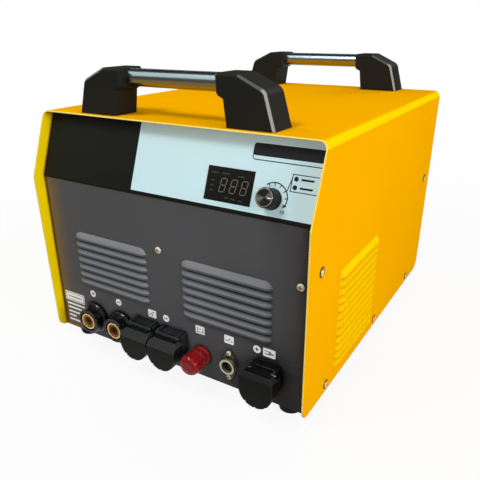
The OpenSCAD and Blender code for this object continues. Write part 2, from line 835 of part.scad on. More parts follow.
// Lidded terminal housing; square_top gives the torch outlets their square shoulders
module lidded_housing(pin_y, square_top) {
    top_y = square_top ? pin_y + 1 : pin_y + knuckle_r;
    base_w = square_top ? lid_base_r : ear_out;
    difference() {
        union() {
            cylinder(h = lid_base_t, r = lid_base_r);
            translate([-base_w, 0, 0]) cube([2 * base_w, top_y, lid_base_t]);
            for (s = [-1, 1]) translate([s * (ear_in + ear_out) / 2, 0, 0])
                rotate([0, 90, 0]) translate([0, 0, (ear_in - ear_out) / 2])
                linear_extrude(ear_out - ear_in) hinge_ear(pin_y);
            translate([0, 0, -shell_back]) cylinder(h = shell_back + 1, r = barrel_r);
        }
        translate([0, 0, -shell_back - 1])
            cylinder(h = shell_back + lid_base_t + 2, r = brass_r + hole_fit / 2);
        translate([0, 0, lid_base_t - mouth_d]) cylinder(h = mouth_d + 1, r = mouth_r);
        translate([-ear_out - 1, pin_y, lid_pin_out]) rotate([0, 90, 0])
            cylinder(h = 2 * ear_out + 2, r = lid_pin_r + turn_fit);
        // Room for the heel of a flat-topped lid as it swings past upright
        if (!square_top) translate([-ear_in, pin_y - heel_gap, lid_base_t - heel_gap])
            cube([2 * ear_in, 2 * knuckle_r, 2 * heel_gap]);
    }
}

// Ear drawn in the plane square to the pin: X towards the panel, Y up
module hinge_ear(pin_y) {
    translate([-lid_pin_out, pin_y]) circle(knuckle_r);
    translate([-lid_pin_out, pin_y - knuckle_r]) square([lid_pin_out, 2 * knuckle_r]);
}

module torch_housing_inner() color([0.1, 0.1, 0.1]) {
    on_front(-torch_inner_x, row_z) lidded_housing(torch_pin_y, true);
}

module torch_housing_external() color([0.1, 0.1, 0.1]) {
    on_front(torch_outer_x, row_z) lidded_housing(torch_pin_y, true);
}

module work_housing() color([0.1, 0.1, 0.1]) {
    on_front(work_x, row_z) lidded_housing(work_pin_y, false);
}

// Outline of a lid: round below, square above with cut corners
module lid_outline(inset, top_y) {
    r = lid_r - inset;
    cut = 4;
    intersection() {
        circle(r);
        translate([-r, -r]) square([2 * r, r + top_y]);
    }
    polygon([[-r, 0], [r, 0], [r, top_y - cut], [r - cut, top_y], [-r + cut, top_y],
        [-r, top_y - cut]]);
}

// Hinged lid: hollow cap with a knuckle between the ears. A torch outlet's lid slopes
// back to its hinge, and the work terminal's has a flat top with a bevelled front edge.
module lid(pin_y, flat_top) {
    back = lid_base_t + lid_gap;
    ear_low = pin_y - knuckle_r - ear_gap;
    ear_front = lid_pin_out + knuckle_r + (flat_top ? heel_gap : ear_gap);
    top_y = flat_top ? pin_y + knuckle_r : ear_low;
    knuckle_w = 2 * (ear_in - 0.3);
    difference() {
        union() {
            difference() {
                lid_form(0, top_y, back, pin_y, flat_top);
                for (s = [-1, 1]) translate([s * (knuckle_w + lid_w) / 2, 0, 0])
                    translate([-lid_w / 2, ear_low, 0]) cube([lid_w, lid_w, ear_front]);
                translate([-lid_w / 2, pin_y, 0]) cube([lid_w, lid_w, lid_pin_out]);
            }
            translate([-knuckle_w / 2, pin_y, lid_pin_out]) rotate([0, 90, 0])
                cylinder(h = knuckle_w, r = knuckle_r);
            translate([-knuckle_w / 2, pin_y - knuckle_r - 2, lid_pin_out - 0.5])
                cube([knuckle_w, knuckle_r + 2, knuckle_r + 0.5]);
        }
        lid_form(lid_wall, ear_low - (flat_top ? 1.5 : lid_wall), back - 1, pin_y, flat_top);
        if (flat_top) lid_form(lid_wall, top_y - lid_wall, ear_front + 1.5, pin_y, flat_top);
        translate([-ear_out, pin_y, lid_pin_out]) rotate([0, 90, 0])
            cylinder(h = 2 * ear_out, r = lid_pin_r + turn_fit);
        for (a = [-1, 0, 1]) rotate(a * 38) translate([0, -lid_r + 0.2, 0])
            cylinder(h = lid_reach + 1, r = 1, $fn = 24);
    }
}

// Outside of a lid, or its hollow where inset is the wall, from the plane low outwards
module lid_form(inset, top_y, low, pin_y, flat_top) {
    front = lid_reach - inset;
    bevel_d = 3 + inset / 2;
    intersection() {
        translate([0, 0, low]) linear_extrude(front - low) lid_outline(inset, top_y);
        rotate([90, 0, 90]) translate([0, 0, -lid_w]) linear_extrude(2 * lid_w)
            polygon(flat_top
                ? [[-lid_w, 0], [top_y, 0], [top_y, front - bevel_d], [top_y - 5, front],
                    [-lid_w, front]]
                : [[-lid_w, 0], [pin_y, 0], [pin_y, lid_pin_out + knuckle_r - inset * 1.2],
                    [lid_r * 0.45 - inset / 2, front], [-lid_w, front]]);
    }
}

module torch_lid_inner() color([0.14, 0.14, 0.14]) {
    on_front(-torch_inner_x, row_z) lid(torch_pin_y, false);
}

module torch_lid_external() color([0.14, 0.14, 0.14]) {
    on_front(torch_outer_x, row_z) lid(torch_pin_y, false);
}

module work_lid() color([0.14, 0.14, 0.14]) on_front(work_x, row_z) lid(work_pin_y, true);

module lid_pins() color("silver") {
    for (place = [[-torch_inner_x, torch_pin_y], [torch_outer_x, torch_pin_y],
        [work_x, work_pin_y]])
        on_front(place[0], row_z) translate([-ear_out - 0.8, place[1], lid_pin_out])
            rotate([0, 90, 0]) cylinder(h = 2 * ear_out + 1.6, r = lid_pin_r);
}

// Brass stub that carries the torch's gas and current, hollow to its rear stud
module torch_stubs() color("goldenrod") {
    for (x = [-torch_inner_x, torch_outer_x]) on_front(x, row_z) difference() {
        union() {
            translate([0, 0, -shell_back - 2])
                cylinder(h = shell_back + 2 + lid_base_t - mouth_d, r = brass_r);
            cylinder(h = contact_reach, r = stub_d / 2);
            translate([0, 0, -stud_back]) cylinder(h = stud_back - shell_back, r = stud_r);
            translate([0, 0, -stud_back - barb_len]) cylinder(h = barb_len + 1, r = barb_r);
        }
        translate([0, 0, -stud_back - barb_len - 1])
            cylinder(h = stud_back + barb_len + contact_reach + 2, r = gas_r);
        translate([0, 0, contact_reach - 3]) cylinder(h = 4, r = 4);
    }
}

// Nuts on the rear studs of every socket, and on the pilot arc and earth studs
module terminal_nuts() color("silver") {
    for (x = [-mma_plus_x, -mma_minus_x, -torch_inner_x, torch_outer_x, work_x])
        on_front(x, row_z) translate([0, 0, -shell_back - 7 - seat_gap]) hex_nut(stud_r, 5);
    on_front(post_x, row_z) translate([0, 0, -sheet_t - 8 - seat_gap])
        hex_nut(post_stud_d / 2, 5);
    on_rear(earth_x, earth_z) translate([0, 0, washer_t + seat_gap / 2])
        hex_nut(earth_d / 2, 4);
}

// Pilot arc post: insulating base, stud, washer and fluted nut
post_base_h = 5;

module post_base() color("firebrick") on_front(post_x, row_z) difference() {
    union() {
        rotate_extrude() polygon([[0, 0], [post_nut_d / 2 - 0.5, 0], [post_nut_d / 2 - 0.5, 3],
            [post_nut_d / 2 - 3, post_base_h], [0, post_base_h]]);
        translate([0, 0, -sheet_t - 3]) cylinder(h = sheet_t + 4, r = post_hole_r - hole_fit);
    }
    translate([0, 0, -sheet_t - 4]) cylinder(h = 20, r = post_stud_d / 2 + hole_fit);
}

module post_stud() color("goldenrod") on_front(post_x, row_z)
    translate([0, 0, -sheet_t - 20])
        cylinder(h = sheet_t + 20 + post_reach - 4 - post_travel, r = post_stud_d / 2);

module post_washer() color("goldenrod") on_front(post_x, row_z)
    translate([0, 0, post_base_h + seat_gap])
        tube_ring(post_nut_d / 2 - 4, post_stud_d / 2 + turn_fit, washer_t);

module post_nut() color("firebrick") {
    r = post_nut_d / 2;
    foot = post_base_h + 2 * seat_gap + washer_t;
    waist = foot + 5;
    flutes = 12;
    on_front(post_x, row_z) difference() {
        rotate_extrude() polygon([[0, foot], [r - 2, foot], [r, foot + 2], [r, waist],
            [r - 2, waist + 1.5], [r - 2, waist + 3], [r, waist + 4.5], [r, post_reach - 4],
            [r - 2, post_reach - 1], [r - 6, post_reach], [r - 6.5, post_reach - 0.8],
            [0, post_reach - 0.8]]);
        for (i = [0:flutes - 1]) rotate((i + 0.5) * 360 / flutes)
            translate([r + 0.8, 0, foot - 1]) cylinder(h = post_reach, r = 1.9, $fn = 24);
        translate([0, 0, -1]) cylinder(h = post_reach - 3, r = post_stud_d / 2 + turn_fit);
    }
}

// Two-pin trigger socket
module trigger_shell() color("silver") {
    r = trigger_d / 2;
    on_front(trigger_x, row_z) difference() {
        union() {
            hull() for (s = [-1, 0, 1]) translate([0, s * trigger_screw_span / 2, 0])
                cylinder(h = 2, r = s == 0 ? r + 0.8 : 3.6, $fn = edge_fn);
            translate([0, 0, 1]) cylinder(h = 6, r = r);
            translate([0, 0, -12]) cylinder(h = 13, r = r - 1);
        }
        translate([0, 0, -13]) cylinder(h = 30, r = r - 2.4);
        for (s = [-1, 1]) translate([0, s * trigger_screw_span / 2, -1])
            cylinder(h = 4, r = 1.5 + hole_fit);
    }
}

// Insulator with two pins and the key rib that lines up the plug
module trigger_insert() color([0.12, 0.12, 0.12]) {
    r = trigger_d / 2 - 2.4;
    on_front(trigger_x, row_z) {
        translate([0, 0, -12]) cylinder(h = 13, r = r - hole_fit / 2);
        for (s = [-1, 1]) translate([s * 2.8, 0, -18]) cylinder(h = 23, r = 1, $fn = 24);
    }
}

// Fasteners ---------------------------------------------------------------------------

// Pan-head screw with a cross recess, standing on the face at z = 0
module pan_screw(r, head_r, head_h, length) {
    difference() {
        union() {
            rotate_extrude() polygon([[0, 0], [head_r, 0], [head_r, head_h * 0.4],
                [head_r * 0.6, head_h * 0.9], [0, head_h]]);
            translate([0, 0, -length]) cylinder(h = length + eps, r = r);
        }
        for (a = [0, 90]) rotate(a) translate([0, 0, head_h - 1.2]) block(head_r * 1.1, 1, 2);
    }
}

module panel_screws() color("silver") {
    for (x = panel_screw_x) {
        on_front(x, panel_screw_z) pan_screw(screw_r, screw_head_r, screw_head_h, screw_len);
        on_rear(-x, panel_screw_z) pan_screw(screw_r, screw_head_r, screw_head_h, screw_len);
    }
    for (s = [-1, 1]) on_front(trigger_x, row_z + s * trigger_screw_span / 2)
        translate([0, 0, 2]) pan_screw(1.5, 3, 1.8, 8);
    fan_bolt_places() translate([0, 0, guard_ear_t]) pan_screw(screw_r, screw_head_r,
        screw_head_h, guard_ear_t + sheet_t + 6);
}

module cover_screws() color([0.15, 0.15, 0.15]) side_screw_places()
    pan_screw(screw_r, screw_head_r, screw_head_h, screw_len);

// Handles -----------------------------------------------------------------------------

// Disc with bevelled rims along Y, from which a bracket's hull is strung
module puck(r) {
    rotate([-90, 0, 0]) {
        translate([0, 0, bracket_bevel])
            cylinder(h = bracket_d - 2 * bracket_bevel, r = r, $fn = edge_fn);
        cylinder(h = bracket_d, r = r - bracket_bevel, $fn = edge_fn);
    }
}

module puck_hull(outline, radii) {
    n = len(outline);
    hull() for (i = [0:n - 1]) {
        c = fillet_centre(outline[(i + n - 1) % n], outline[i], outline[(i + 1) % n], radii[i]);
        translate([c[0], 0, c[1]]) puck(radii[i]);
    }
}

// Right-hand bracket on the cover's top plane, from y = 0 to bracket_d
module handle_bracket(screw_y) {
    foot_drop = 10;
    shoulder = [bracket_foot_out - 11, bracket_h * 0.72];
    out_step = (bracket_foot_out - shoulder[0]) * foot_drop / shoulder[1];
    neck_x = bracket_foot_in - 4;
    collar_low = tube_rise - tube_r - 1.6;
    difference() {
        union() {
            puck_hull([[bracket_foot_in + 1.4, -foot_drop], [bracket_foot_out + out_step, -foot_drop],
                shoulder, [bracket_foot_out - 42, bracket_h], [neck_x, bracket_h],
                [neck_x, collar_low]], [3, 3, 10, 8, 3, 3]);
            puck_hull([[collar_x, bracket_h], [collar_x + 1.5, collar_low + 1],
                [neck_x + 1, collar_low - 3], [neck_x + 14, collar_low - 3],
                [neck_x + 14, bracket_h]], [3, 4, 4, 3, 3]);
        }
        translate([0, -1, -2 * foot_drop])
            cube([bracket_foot_out + 40, bracket_d + 2, 2 * foot_drop]);
        translate([collar_x - 5, bracket_d / 2, tube_rise]) rotate([0, 90, 0])
            cylinder(h = tube_seat + 5, r = tube_r + hole_fit / 2);
        for (x = bracket_screw_x) translate([x, screw_y, -1])
            cylinder(h = 15, r = bracket_screw_r + hole_fit / 2);
    }
}

module bracket_at(side, y, screw_y) {
    translate([0, y, top_z]) mirror([side < 0 ? 1 : 0, 0, 0]) handle_bracket(screw_y - y);
}

module handle_front_left() color([0.12, 0.12, 0.12])
    bracket_at(-1, handle_front_y, bracket_screw_y[0]);

module handle_front_right() color([0.12, 0.12, 0.12])
    bracket_at(1, handle_front_y, bracket_screw_y[0]);

module handle_rear_left() color([0.12, 0.12, 0.12])
    bracket_at(-1, handle_rear_y, bracket_screw_y[1]);

module handle_rear_right() color([0.12, 0.12, 0.12])
    bracket_at(1, handle_rear_y, bracket_screw_y[1]);

module handle_tubes() color("silver") {
    half = collar_x + tube_seat - seat_gap;
    for (y = [handle_front_y, handle_rear_y])
        translate([-half, y + bracket_d / 2, top_z + tube_rise]) rotate([0, 90, 0])
            tube_ring(tube_r, tube_r - tube_wall, 2 * half);
}

// Screws driven up through the cover into the brackets
module handle_screws() color("silver") bracket_screw_places() {
    translate([0, 0, -sheet_t - 4]) cylinder(h = 4, r = 5, $fn = 6);
    translate([0, 0, -sheet_t - 1]) cylinder(h = sheet_t + 13, r = bracket_screw_r);
}

// Push-in feet: tapered body, neck through the base plate, head above it
module rubber_feet() color([0.1, 0.1, 0.1]) foot_places() difference() {
    union() {
        cylinder(h = foot_h, r1 = foot_d / 2 - 3, r2 = foot_d / 2);
        cylinder(h = foot_h + base_t + 1, r = foot_neck_r);
        translate([0, 0, deck_z]) cylinder(h = 3, r1 = foot_neck_r + 2.5, r2 = foot_neck_r);
    }
    translate([0, 0, -1]) cylinder(h = foot_h / 2 + 1, r = foot_neck_r);
}

// Rear panel fittings -----------------------------------------------------------------

module fan_bolt_places() {
    for (x = [-1, 1], y = [-1, 1]) on_rear(-fan_x, fan_z)
        translate([x * fan_bolt, y * fan_bolt, 0]) children();
}

// Wire guard: rings on four ribs that end in bolt eyes
module fan_guard() color("silver") {
    rib_in = 10;
    eye_r = 5;
    rib_out = fan_bolt * sqrt(2) - eye_r + 1;
    on_rear(-fan_x, fan_z) {
        for (r = [rib_in, 22, 34, 46, fan_hole_r + 1]) translate([0, 0, 2.4 * guard_wire_r])
            rotate_extrude() translate([r, 0]) circle(guard_wire_r, $fn = 24);
        for (a = [45:90:315]) rotate(a) translate([rib_in, 0, guard_wire_r])
            rotate([0, 90, 0]) cylinder(h = rib_out - rib_in, r = guard_wire_r, $fn = 24);
    }
    fan_bolt_places() tube_ring(eye_r, screw_r + hole_fit, guard_ear_t);
}

module fan_frame() color([0.12, 0.12, 0.12]) on_rear(-fan_x, fan_z)
    translate([0, 0, -sheet_t - fan_depth]) difference() {
        lug_r = 7.5;
        plate_t = 4;
        union() {
            for (z = [0, fan_depth - plate_t]) translate([0, 0, z]) linear_extrude(plate_t) {
                square([fan_size - 2 * lug_r, fan_size], center = true);
                square([fan_size, fan_size - 2 * lug_r], center = true);
                for (x = [-1, 1], y = [-1, 1]) translate([x * fan_bolt, y * fan_bolt])
                    circle(lug_r);
            }
            cylinder(h = fan_depth, r = fan_size / 2 - 1);
        }
        difference() {
            translate([0, 0, -1]) cylinder(h = fan_depth + 2, r = fan_bore_r);
            cylinder(h = 5, r = fan_hub_d / 2);
            for (a = [45, 135]) rotate(a) block(2 * fan_bore_r + 2, 6, 4);
        }
        translate([0, 0, -1]) cylinder(h = 8, r = 3 + turn_fit);
        for (x = [-1, 1], y = [-1, 1]) translate([x * fan_bolt, y * fan_bolt, -1])
            cylinder(h = fan_depth + 2, r = screw_r + hole_fit);
    }

// Hub with pitched flat blades and an axle in the frame's bearing
module fan_rotor() color([0.2, 0.2, 0.2]) {
    low = 5.5;
    hub_r = fan_hub_d / 2;
    tip_r = fan_bore_r - fan_tip_gap;
    hub_h = fan_depth - low - 6;
    on_rear(-fan_x, fan_z) translate([0, 0, -sheet_t - fan_depth]) {
        translate([0, 0, 0.5]) cylinder(h = low + 1, r = 3);
        translate([0, 0, low]) cylinder(h = hub_h, r = hub_r);
        translate([0, 0, low + hub_h / 2]) pitched_blades(fan_blades, hub_r, tip_r, 36, 34);
    }
}

// Flat blades tilted by pitch about their own radius
module pitched_blades(count, root_r, tip_r, chord, pitch) {
    for (i = [0:count - 1]) rotate(i * 360 / count) intersection() {
        rotate([pitch, 0, 0]) translate([0, -chord / 2, -1]) cube([tip_r + 4, chord, 2]);
        translate([0, 0, -chord]) tube_ring(tip_r, root_r - 1, 2 * chord);
    }
}

module breaker_body() color([0.85, 0.85, 0.82]) on_rear(breaker_x, breaker_z) difference() {
    union() {
        translate([-breaker_w / 2, -breaker_case_h / 2, -sheet_t - breaker_case_d])
            cube([breaker_w, breaker_case_h, breaker_case_d]);
        translate([-breaker_w / 2, -breaker_h / 2, -sheet_t - 1])
            cube([breaker_w, breaker_h, sheet_t + 1 + breaker_out]);
    }
    translate([-breaker_w / 2 + 4, -10, -12]) cube([breaker_w - 8, 20, 30]);
    translate([-breaker_w / 2 + 1, 0, -pivot_in]) rotate([0, 90, 0])
        cylinder(h = breaker_w - 2, r = 1.5 + turn_fit, $fn = 32);
    for (x = [-1, 1]) translate([x * breaker_w / 6 - 0.3, -breaker_h, breaker_out - 0.6])
        cube([0.6, 2 * breaker_h, 1]);
}

// Linked levers on one barrel, shown switched on
module breaker_lever() color([0.1, 0.1, 0.1]) on_rear(breaker_x, breaker_z)
    translate([0, 0, -pivot_in]) rotate([-30, 0, 0]) {
        barrel_w = breaker_w - 9;
        translate([-barrel_w / 2, 0, 0]) rotate([0, 90, 0]) cylinder(h = barrel_w, r = lever_r);
        translate([-breaker_w / 2 + 1.5, 0, 0]) rotate([0, 90, 0])
            cylinder(h = breaker_w - 3, r = 1.5, $fn = 32);
        translate([-barrel_w / 2, -2.5, 0]) cube([barrel_w, 5, lever_r + lever_reach]);
    }

// Gland with a hex foot, a domed nut and a locknut inside
module cable_gland() color([0.1, 0.1, 0.1]) on_rear(gland_x, gland_z) difference() {
    hex_r = gland_thread_r + 4;
    bore_r = gland_bore_d / 2;
    union() {
        cylinder(h = 6, r = hex_r, $fn = 6);
        translate([0, 0, 7]) cylinder(h = 9, r = hex_r, $fn = 6);
        rotate_extrude() polygon([[0, 5], [gland_thread_r, 5], [gland_thread_r, 8],
            [hex_r - 2, 16], [hex_r - 2.5, gland_reach - 6], [bore_r + 2, gland_reach],
            [0, gland_reach]]);
        translate([0, 0, -sheet_t - 9]) cylinder(h = sheet_t + 10, r = gland_thread_r);
        translate([0, 0, -sheet_t - 5]) cylinder(h = 5, r = hex_r, $fn = 6);
    }
    translate([0, 0, 5]) cylinder(h = gland_reach, r = bore_r);
    translate([0, 0, -sheet_t - 10]) cylinder(h = sheet_t + 15.5, r = bore_r + 1.2);
}

module earth_stud() color("silver") on_rear(earth_x, earth_z) {
    translate([0, 0, -16]) cylinder(h = 32, r = earth_d / 2);
    tube_ring(7, earth_d / 2 - eps, washer_t);
    translate([0, 0, -sheet_t - 4]) cylinder(h = 4, r = nut_r(earth_d / 2), $fn = 6);
}

// Inlet for an outside air supply: hose spigot, hex, locknut and inner tail
module air_inlet() color("goldenrod") on_rear(comp_x, head_mid_z) difference() {
    spigot_r = inlet_d / 2;
    union() {
        cylinder(h = 7, r = inlet_thread_r + 3.5, $fn = 6);
        translate([0, 0, -sheet_t - 8]) cylinder(h = sheet_t + 9, r = inlet_thread_r);
        translate([0, 0, -sheet_t - 4]) cylinder(h = 4, r = inlet_thread_r + 3.5, $fn = 6);
        cylinder(h = gland_reach, r = spigot_r);
        translate([0, 0, -inlet_tail]) cylinder(h = inlet_tail, r = barb_r);
    }
    translate([0, 0, -inlet_tail - 1]) cylinder(h = inlet_tail + gland_reach + 2, r = gas_r);
}

inlet_tail = 22;

// Compressor --------------------------------------------------------------------------

module on_comp(y, z) {
    translate([comp_x, comp_y + y, z]) children();
}

// Motor shell with cooling ribs between two crankcases with feet
module compressor_motor() color([0.25, 0.25, 0.27]) difference() {
    union() {
        on_comp(-motor_len / 2 - eps, motor_z) rotate([-90, 0, 0])
            cylinder(h = motor_len + 2 * eps, r = motor_d / 2 - 3);
        for (i = [0:6]) on_comp(-motor_len / 2 + 8 + i * (motor_len - 20) / 6, motor_z)
            rotate([-90, 0, 0]) cylinder(h = 4, r = motor_d / 2);
        for (s = [-1, 1]) on_comp(s * crank_y, 0) {
            translate([0, 0, comp_foot_z]) block(crank_w, crank_len, motor_z - comp_foot_z);
            translate([0, crank_len / 2, motor_z]) rotate([90, 0, 0])
                cylinder(h = crank_len, r = crank_w / 2);
            translate([0, 0, comp_foot_z]) block(crank_w + 24, crank_len, 5);
            translate([0, 0, motor_z]) block(cylinder_d + 8, crank_len, crank_w / 2 + 6);
        }
    }
    on_comp(-comp_end - 1, motor_z) rotate([-90, 0, 0])
        cylinder(h = 2 * comp_end + 2, r = comp_shaft_r + turn_fit);
    mount_places() translate([0, 0, mount_h - 1]) cylinder(h = 7, r = 3 + hole_fit);
}

comp_end = motor_len / 2 + crank_len;

// Two cylinders with fins and heads, each head with its hose barbs
module compressor_heads() color("silver") {
    foot = motor_z + crank_w / 2 + 6;
    fin_low = motor_z + motor_d / 2 + 1;
    fin_pitch = 5;
    fins = floor((head_top_z - head_h - fin_low) / fin_pitch);
    for (s = [-1, 1]) on_comp(s * crank_y, 0) {
        translate([0, 0, foot]) cylinder(h = head_top_z - head_h - foot, r = cylinder_d / 2);
        for (i = [0:fins - 1]) translate([0, 0, fin_low + i * fin_pitch])
            cylinder(h = 2, r = head_w / 2 - 1);
        translate([0, 0, head_top_z - head_h]) block(head_w, head_w, head_h);
        translate([0, -s * head_w / 2, head_mid_z]) rotate([90 * s, 0, 0])
            cylinder(h = barb_len, r = barb_r);
        for (x = [-1, 1], y = [-1, 1]) translate([x * 22, y * 22, head_top_z])
            cylinder(h = 2.5, r = 4, $fn = 6);
    }
    on_comp(-crank_y, head_mid_z) translate([-head_w / 2, 0, 0]) rotate([0, -90, 0])
        cylinder(h = barb_len, r = barb_r);
    on_comp(crank_y + head_w / 2, head_mid_z) rotate([-90, 0, 0])
        cylinder(h = barb_len, r = barb_r);
}

// Shaft through the motor with a cooling fan at each end
module compressor_fans() color([0.15, 0.15, 0.15]) {
    hub_r = 14;
    half = comp_fan_y + comp_fan_t;
    on_comp(-half, motor_z) rotate([-90, 0, 0]) cylinder(h = 2 * half, r = comp_shaft_r);
    for (s = [-1, 1]) on_comp(s * comp_fan_y, motor_z) rotate([-90 * s, 0, 0]) {
        cylinder(h = comp_fan_t, r = hub_r);
        translate([0, 0, comp_fan_t / 2]) intersection() {
            pitched_blades(6, hub_r, comp_fan_d / 2, 24, 30);
            translate([0, 0, -comp_fan_t / 2]) cylinder(h = comp_fan_t, r = comp_fan_d);
        }
    }
}

module mount_places() {
    for (x = [-1, 1], y = [-1, 1])
        translate([comp_x + x * (crank_w / 2 + 4), comp_y + y * crank_y, deck_z]) children();
}

// Rubber buffers, each with a stud into the crankcase foot
module compressor_mounts() color([0.1, 0.1, 0.1]) mount_places() {
    cylinder(h = mount_h, r = 7.5);
    cylinder(h = mount_h + 4.5, r = 3);
}

// Magnetics ---------------------------------------------------------------------------

trans_x = 100 - side_x;
trans_y = -10;
core_d = 60;
coil_d = core_d + 2 * 15;
choke_gap = 37;
choke_y = trans_y + coil_d / 2 + choke_gap + choke_d / 2;
core_leg = core_w * 0.34;
core_yoke = core_w * 0.17;
core_window_h = core_h - 2 * core_yoke;

// Laminated core with two windows
module transformer_core() color([0.3, 0.3, 0.32]) translate([trans_x, trans_y, deck_z])
    difference() {
        block(core_w, core_d, core_h);
        for (s = [-1, 1])
            translate([s * (core_leg / 2 + (core_w / 2 - core_leg / 2 - core_yoke) / 2), 0,
                core_yoke])
            block(core_w / 2 - core_leg / 2 - core_yoke, core_d + 2, core_window_h);
    }

// Coil around the middle leg
module transformer_winding() color("peru") translate([trans_x, trans_y, deck_z + core_yoke])
    difference() {
        coil_w = core_w - 2 * core_yoke - 2 * seat_gap;
        coil_r = 12;
        union() {
            translate([0, 0, seat_gap]) block(coil_w, coil_d - 2 * coil_r, coil_h);
            translate([0, 0, seat_gap]) block(coil_w - 2 * coil_r, coil_d, coil_h);
            for (x = [-1, 1], y = [-1, 1])
                translate([x * (coil_w / 2 - coil_r), y * (coil_d / 2 - coil_r), seat_gap])
                cylinder(h = coil_h, r = coil_r);
        }
        translate([0, 0, -1]) block(core_leg + 2 * seat_gap, core_d + 2 * seat_gap,
            core_window_h + 2);
    }

coil_h = core_window_h - 2 * seat_gap;

// Ring choke with a clamping disc and bolt
module output_choke() color("peru") translate([trans_x, choke_y, deck_z]) {
    ring_h = 40;
    ring_r = choke_d / 2;
    bevel = 6;
    rotate_extrude() polygon([[20, bevel], [20 + bevel, 0], [ring_r - bevel, 0],
        [ring_r, bevel], [ring_r, ring_h - bevel], [ring_r - bevel, ring_h],
        [20 + bevel, ring_h], [20, ring_h - bevel]]);
    translate([0, 0, ring_h]) cylinder(h = 2, r = 32);
    cylinder(h = ring_h + 6, r = 4);
    translate([0, 0, ring_h + 2]) cylinder(h = 5, r = 8, $fn = 6);
}

// Power electronics on the shelf ------------------------------------------------------

sink_gap = 9.5;
sink_y = rear_in_y - fan_depth - sink_gap - sink_len / 2;
sink_h = 50;
sink_base_t = 6;
sink_fin_t = 2.5;

module heat_sink() color("silver") translate([-fan_x, sink_y, shelf_top]) {
    pitch = (sink_w - sink_fin_t) / (sink_fins - 1);
    translate([0, 0, sink_h - sink_base_t]) block(sink_w, sink_len, sink_base_t);
    for (i = [0:sink_fins - 1])
        translate([-sink_w / 2 + sink_fin_t / 2 + i * pitch, 0, 0])
        block(sink_fin_t, sink_len, sink_h - sink_base_t + eps);
}

// Board on pillars above the heat sink, with transistors, capacitors and a transformer
module power_board() color("darkgreen") translate([-fan_x, sink_y, shelf_top + sink_h]) {
    lift = 12;
    w = sink_w - 4;
    d = sink_len - 20;
    translate([0, 0, lift]) block(w, d, board_t);
    for (x = [-1, 1], y = [-1, 1]) translate([x * (w / 2 - 6), y * (d / 2 - 6), 0])
        cylinder(h = lift + 1, r = 4);
    for (x = [-1, 1], y = [-1.5:1:1.5]) translate([x * 24, y * 34, 0]) block(18, 24, lift + 1);
    for (y = [-1, 0, 1]) translate([-28, y * 42, lift + board_t - eps]) cylinder(h = 42, r = 16);
    translate([26, 30, lift + board_t - eps]) block(40, 62, 34);
    translate([26, -46, lift + board_t - eps]) block(34, 40, 22);
}

// Gas valve: manifold on the deck, coil on top, barbs for the hoses
module solenoid_valve() color("goldenrod") translate([manifold_x, manifold_y, 0]) {
    w = torch_outer_x + torch_inner_x + 22;
    d = 30;
    translate([0, 0, deck_z]) block(w, d, row_z - deck_z + 14);
    translate([0, 0, row_z + 14 - eps]) cylinder(h = 34, r = 15);
    translate([0, 0, row_z + 48 - 2 * eps]) cylinder(h = 4, r = 6, $fn = 6);
    for (s = [-1, 1]) translate([s * (torch_outer_x + torch_inner_x) / 2, -d / 2, row_z])
        rotate([90, 0, 0]) cylinder(h = barb_len, r = barb_r);
    translate([hose_drop_x - manifold_x, d / 2, row_z]) rotate([-90, 0, 0])
        cylinder(h = barb_len, r = barb_r);
}

module hose(length) {
    tube_ring(hose_d / 2, barb_r + turn_fit, length);
}

// Quarter turn from +Z at the origin towards +X
module hose_elbow() {
    translate([hose_bend, 0, 0]) rotate([90, 0, 0]) mirror([1, 0, 0])
        rotate_extrude(angle = 90) translate([hose_bend, 0]) difference() {
            circle(hose_d / 2, $fn = 32);
            circle(barb_r + turn_fit, $fn = 32);
        }
}

// Hoses from the inlet to the heads, from the heads to the valve, and on to the torches
module air_hoses() color([0.2, 0.3, 0.5]) {
    head_half = head_w / 2;
    rear_head = comp_y + crank_y + head_half;
    inlet_end = rear_y - inlet_tail + barb_len - 1;
    front_gap = seat_gap;
    translate([comp_x, rear_head + front_gap, head_mid_z]) rotate([-90, 0, 0])
        hose(inlet_end - rear_head - front_gap);
    translate([comp_x, comp_y - crank_y + head_half + front_gap, head_mid_z])
        rotate([-90, 0, 0]) hose(2 * (crank_y - head_half - front_gap));
    for (x = [-torch_inner_x, torch_outer_x])
        translate([x, front_y + stud_back + front_gap, row_z]) rotate([-90, 0, 0])
        hose(manifold_y - 15 - front_y - stud_back - 2 * front_gap);
    // From the front head: across, down and forward into the valve
    y0 = comp_y - crank_y;
    x0 = comp_x - head_half - front_gap;
    x1 = hose_drop_x + hose_bend;
    translate([x0, y0, head_mid_z]) rotate([0, -90, 0]) hose(x0 - x1);
    translate([hose_drop_x, y0, head_mid_z - hose_bend]) hose_elbow();
    translate([hose_drop_x, y0, row_z + hose_bend])
        hose(head_mid_z - row_z - 2 * hose_bend);
    translate([hose_drop_x, y0, row_z + hose_bend]) rotate([180, 0, -90]) hose_elbow();
    y1 = manifold_y + 15 + front_gap;
    translate([hose_drop_x, y1, row_z]) rotate([-90, 0, 0]) hose(y0 - hose_bend - y1);
}

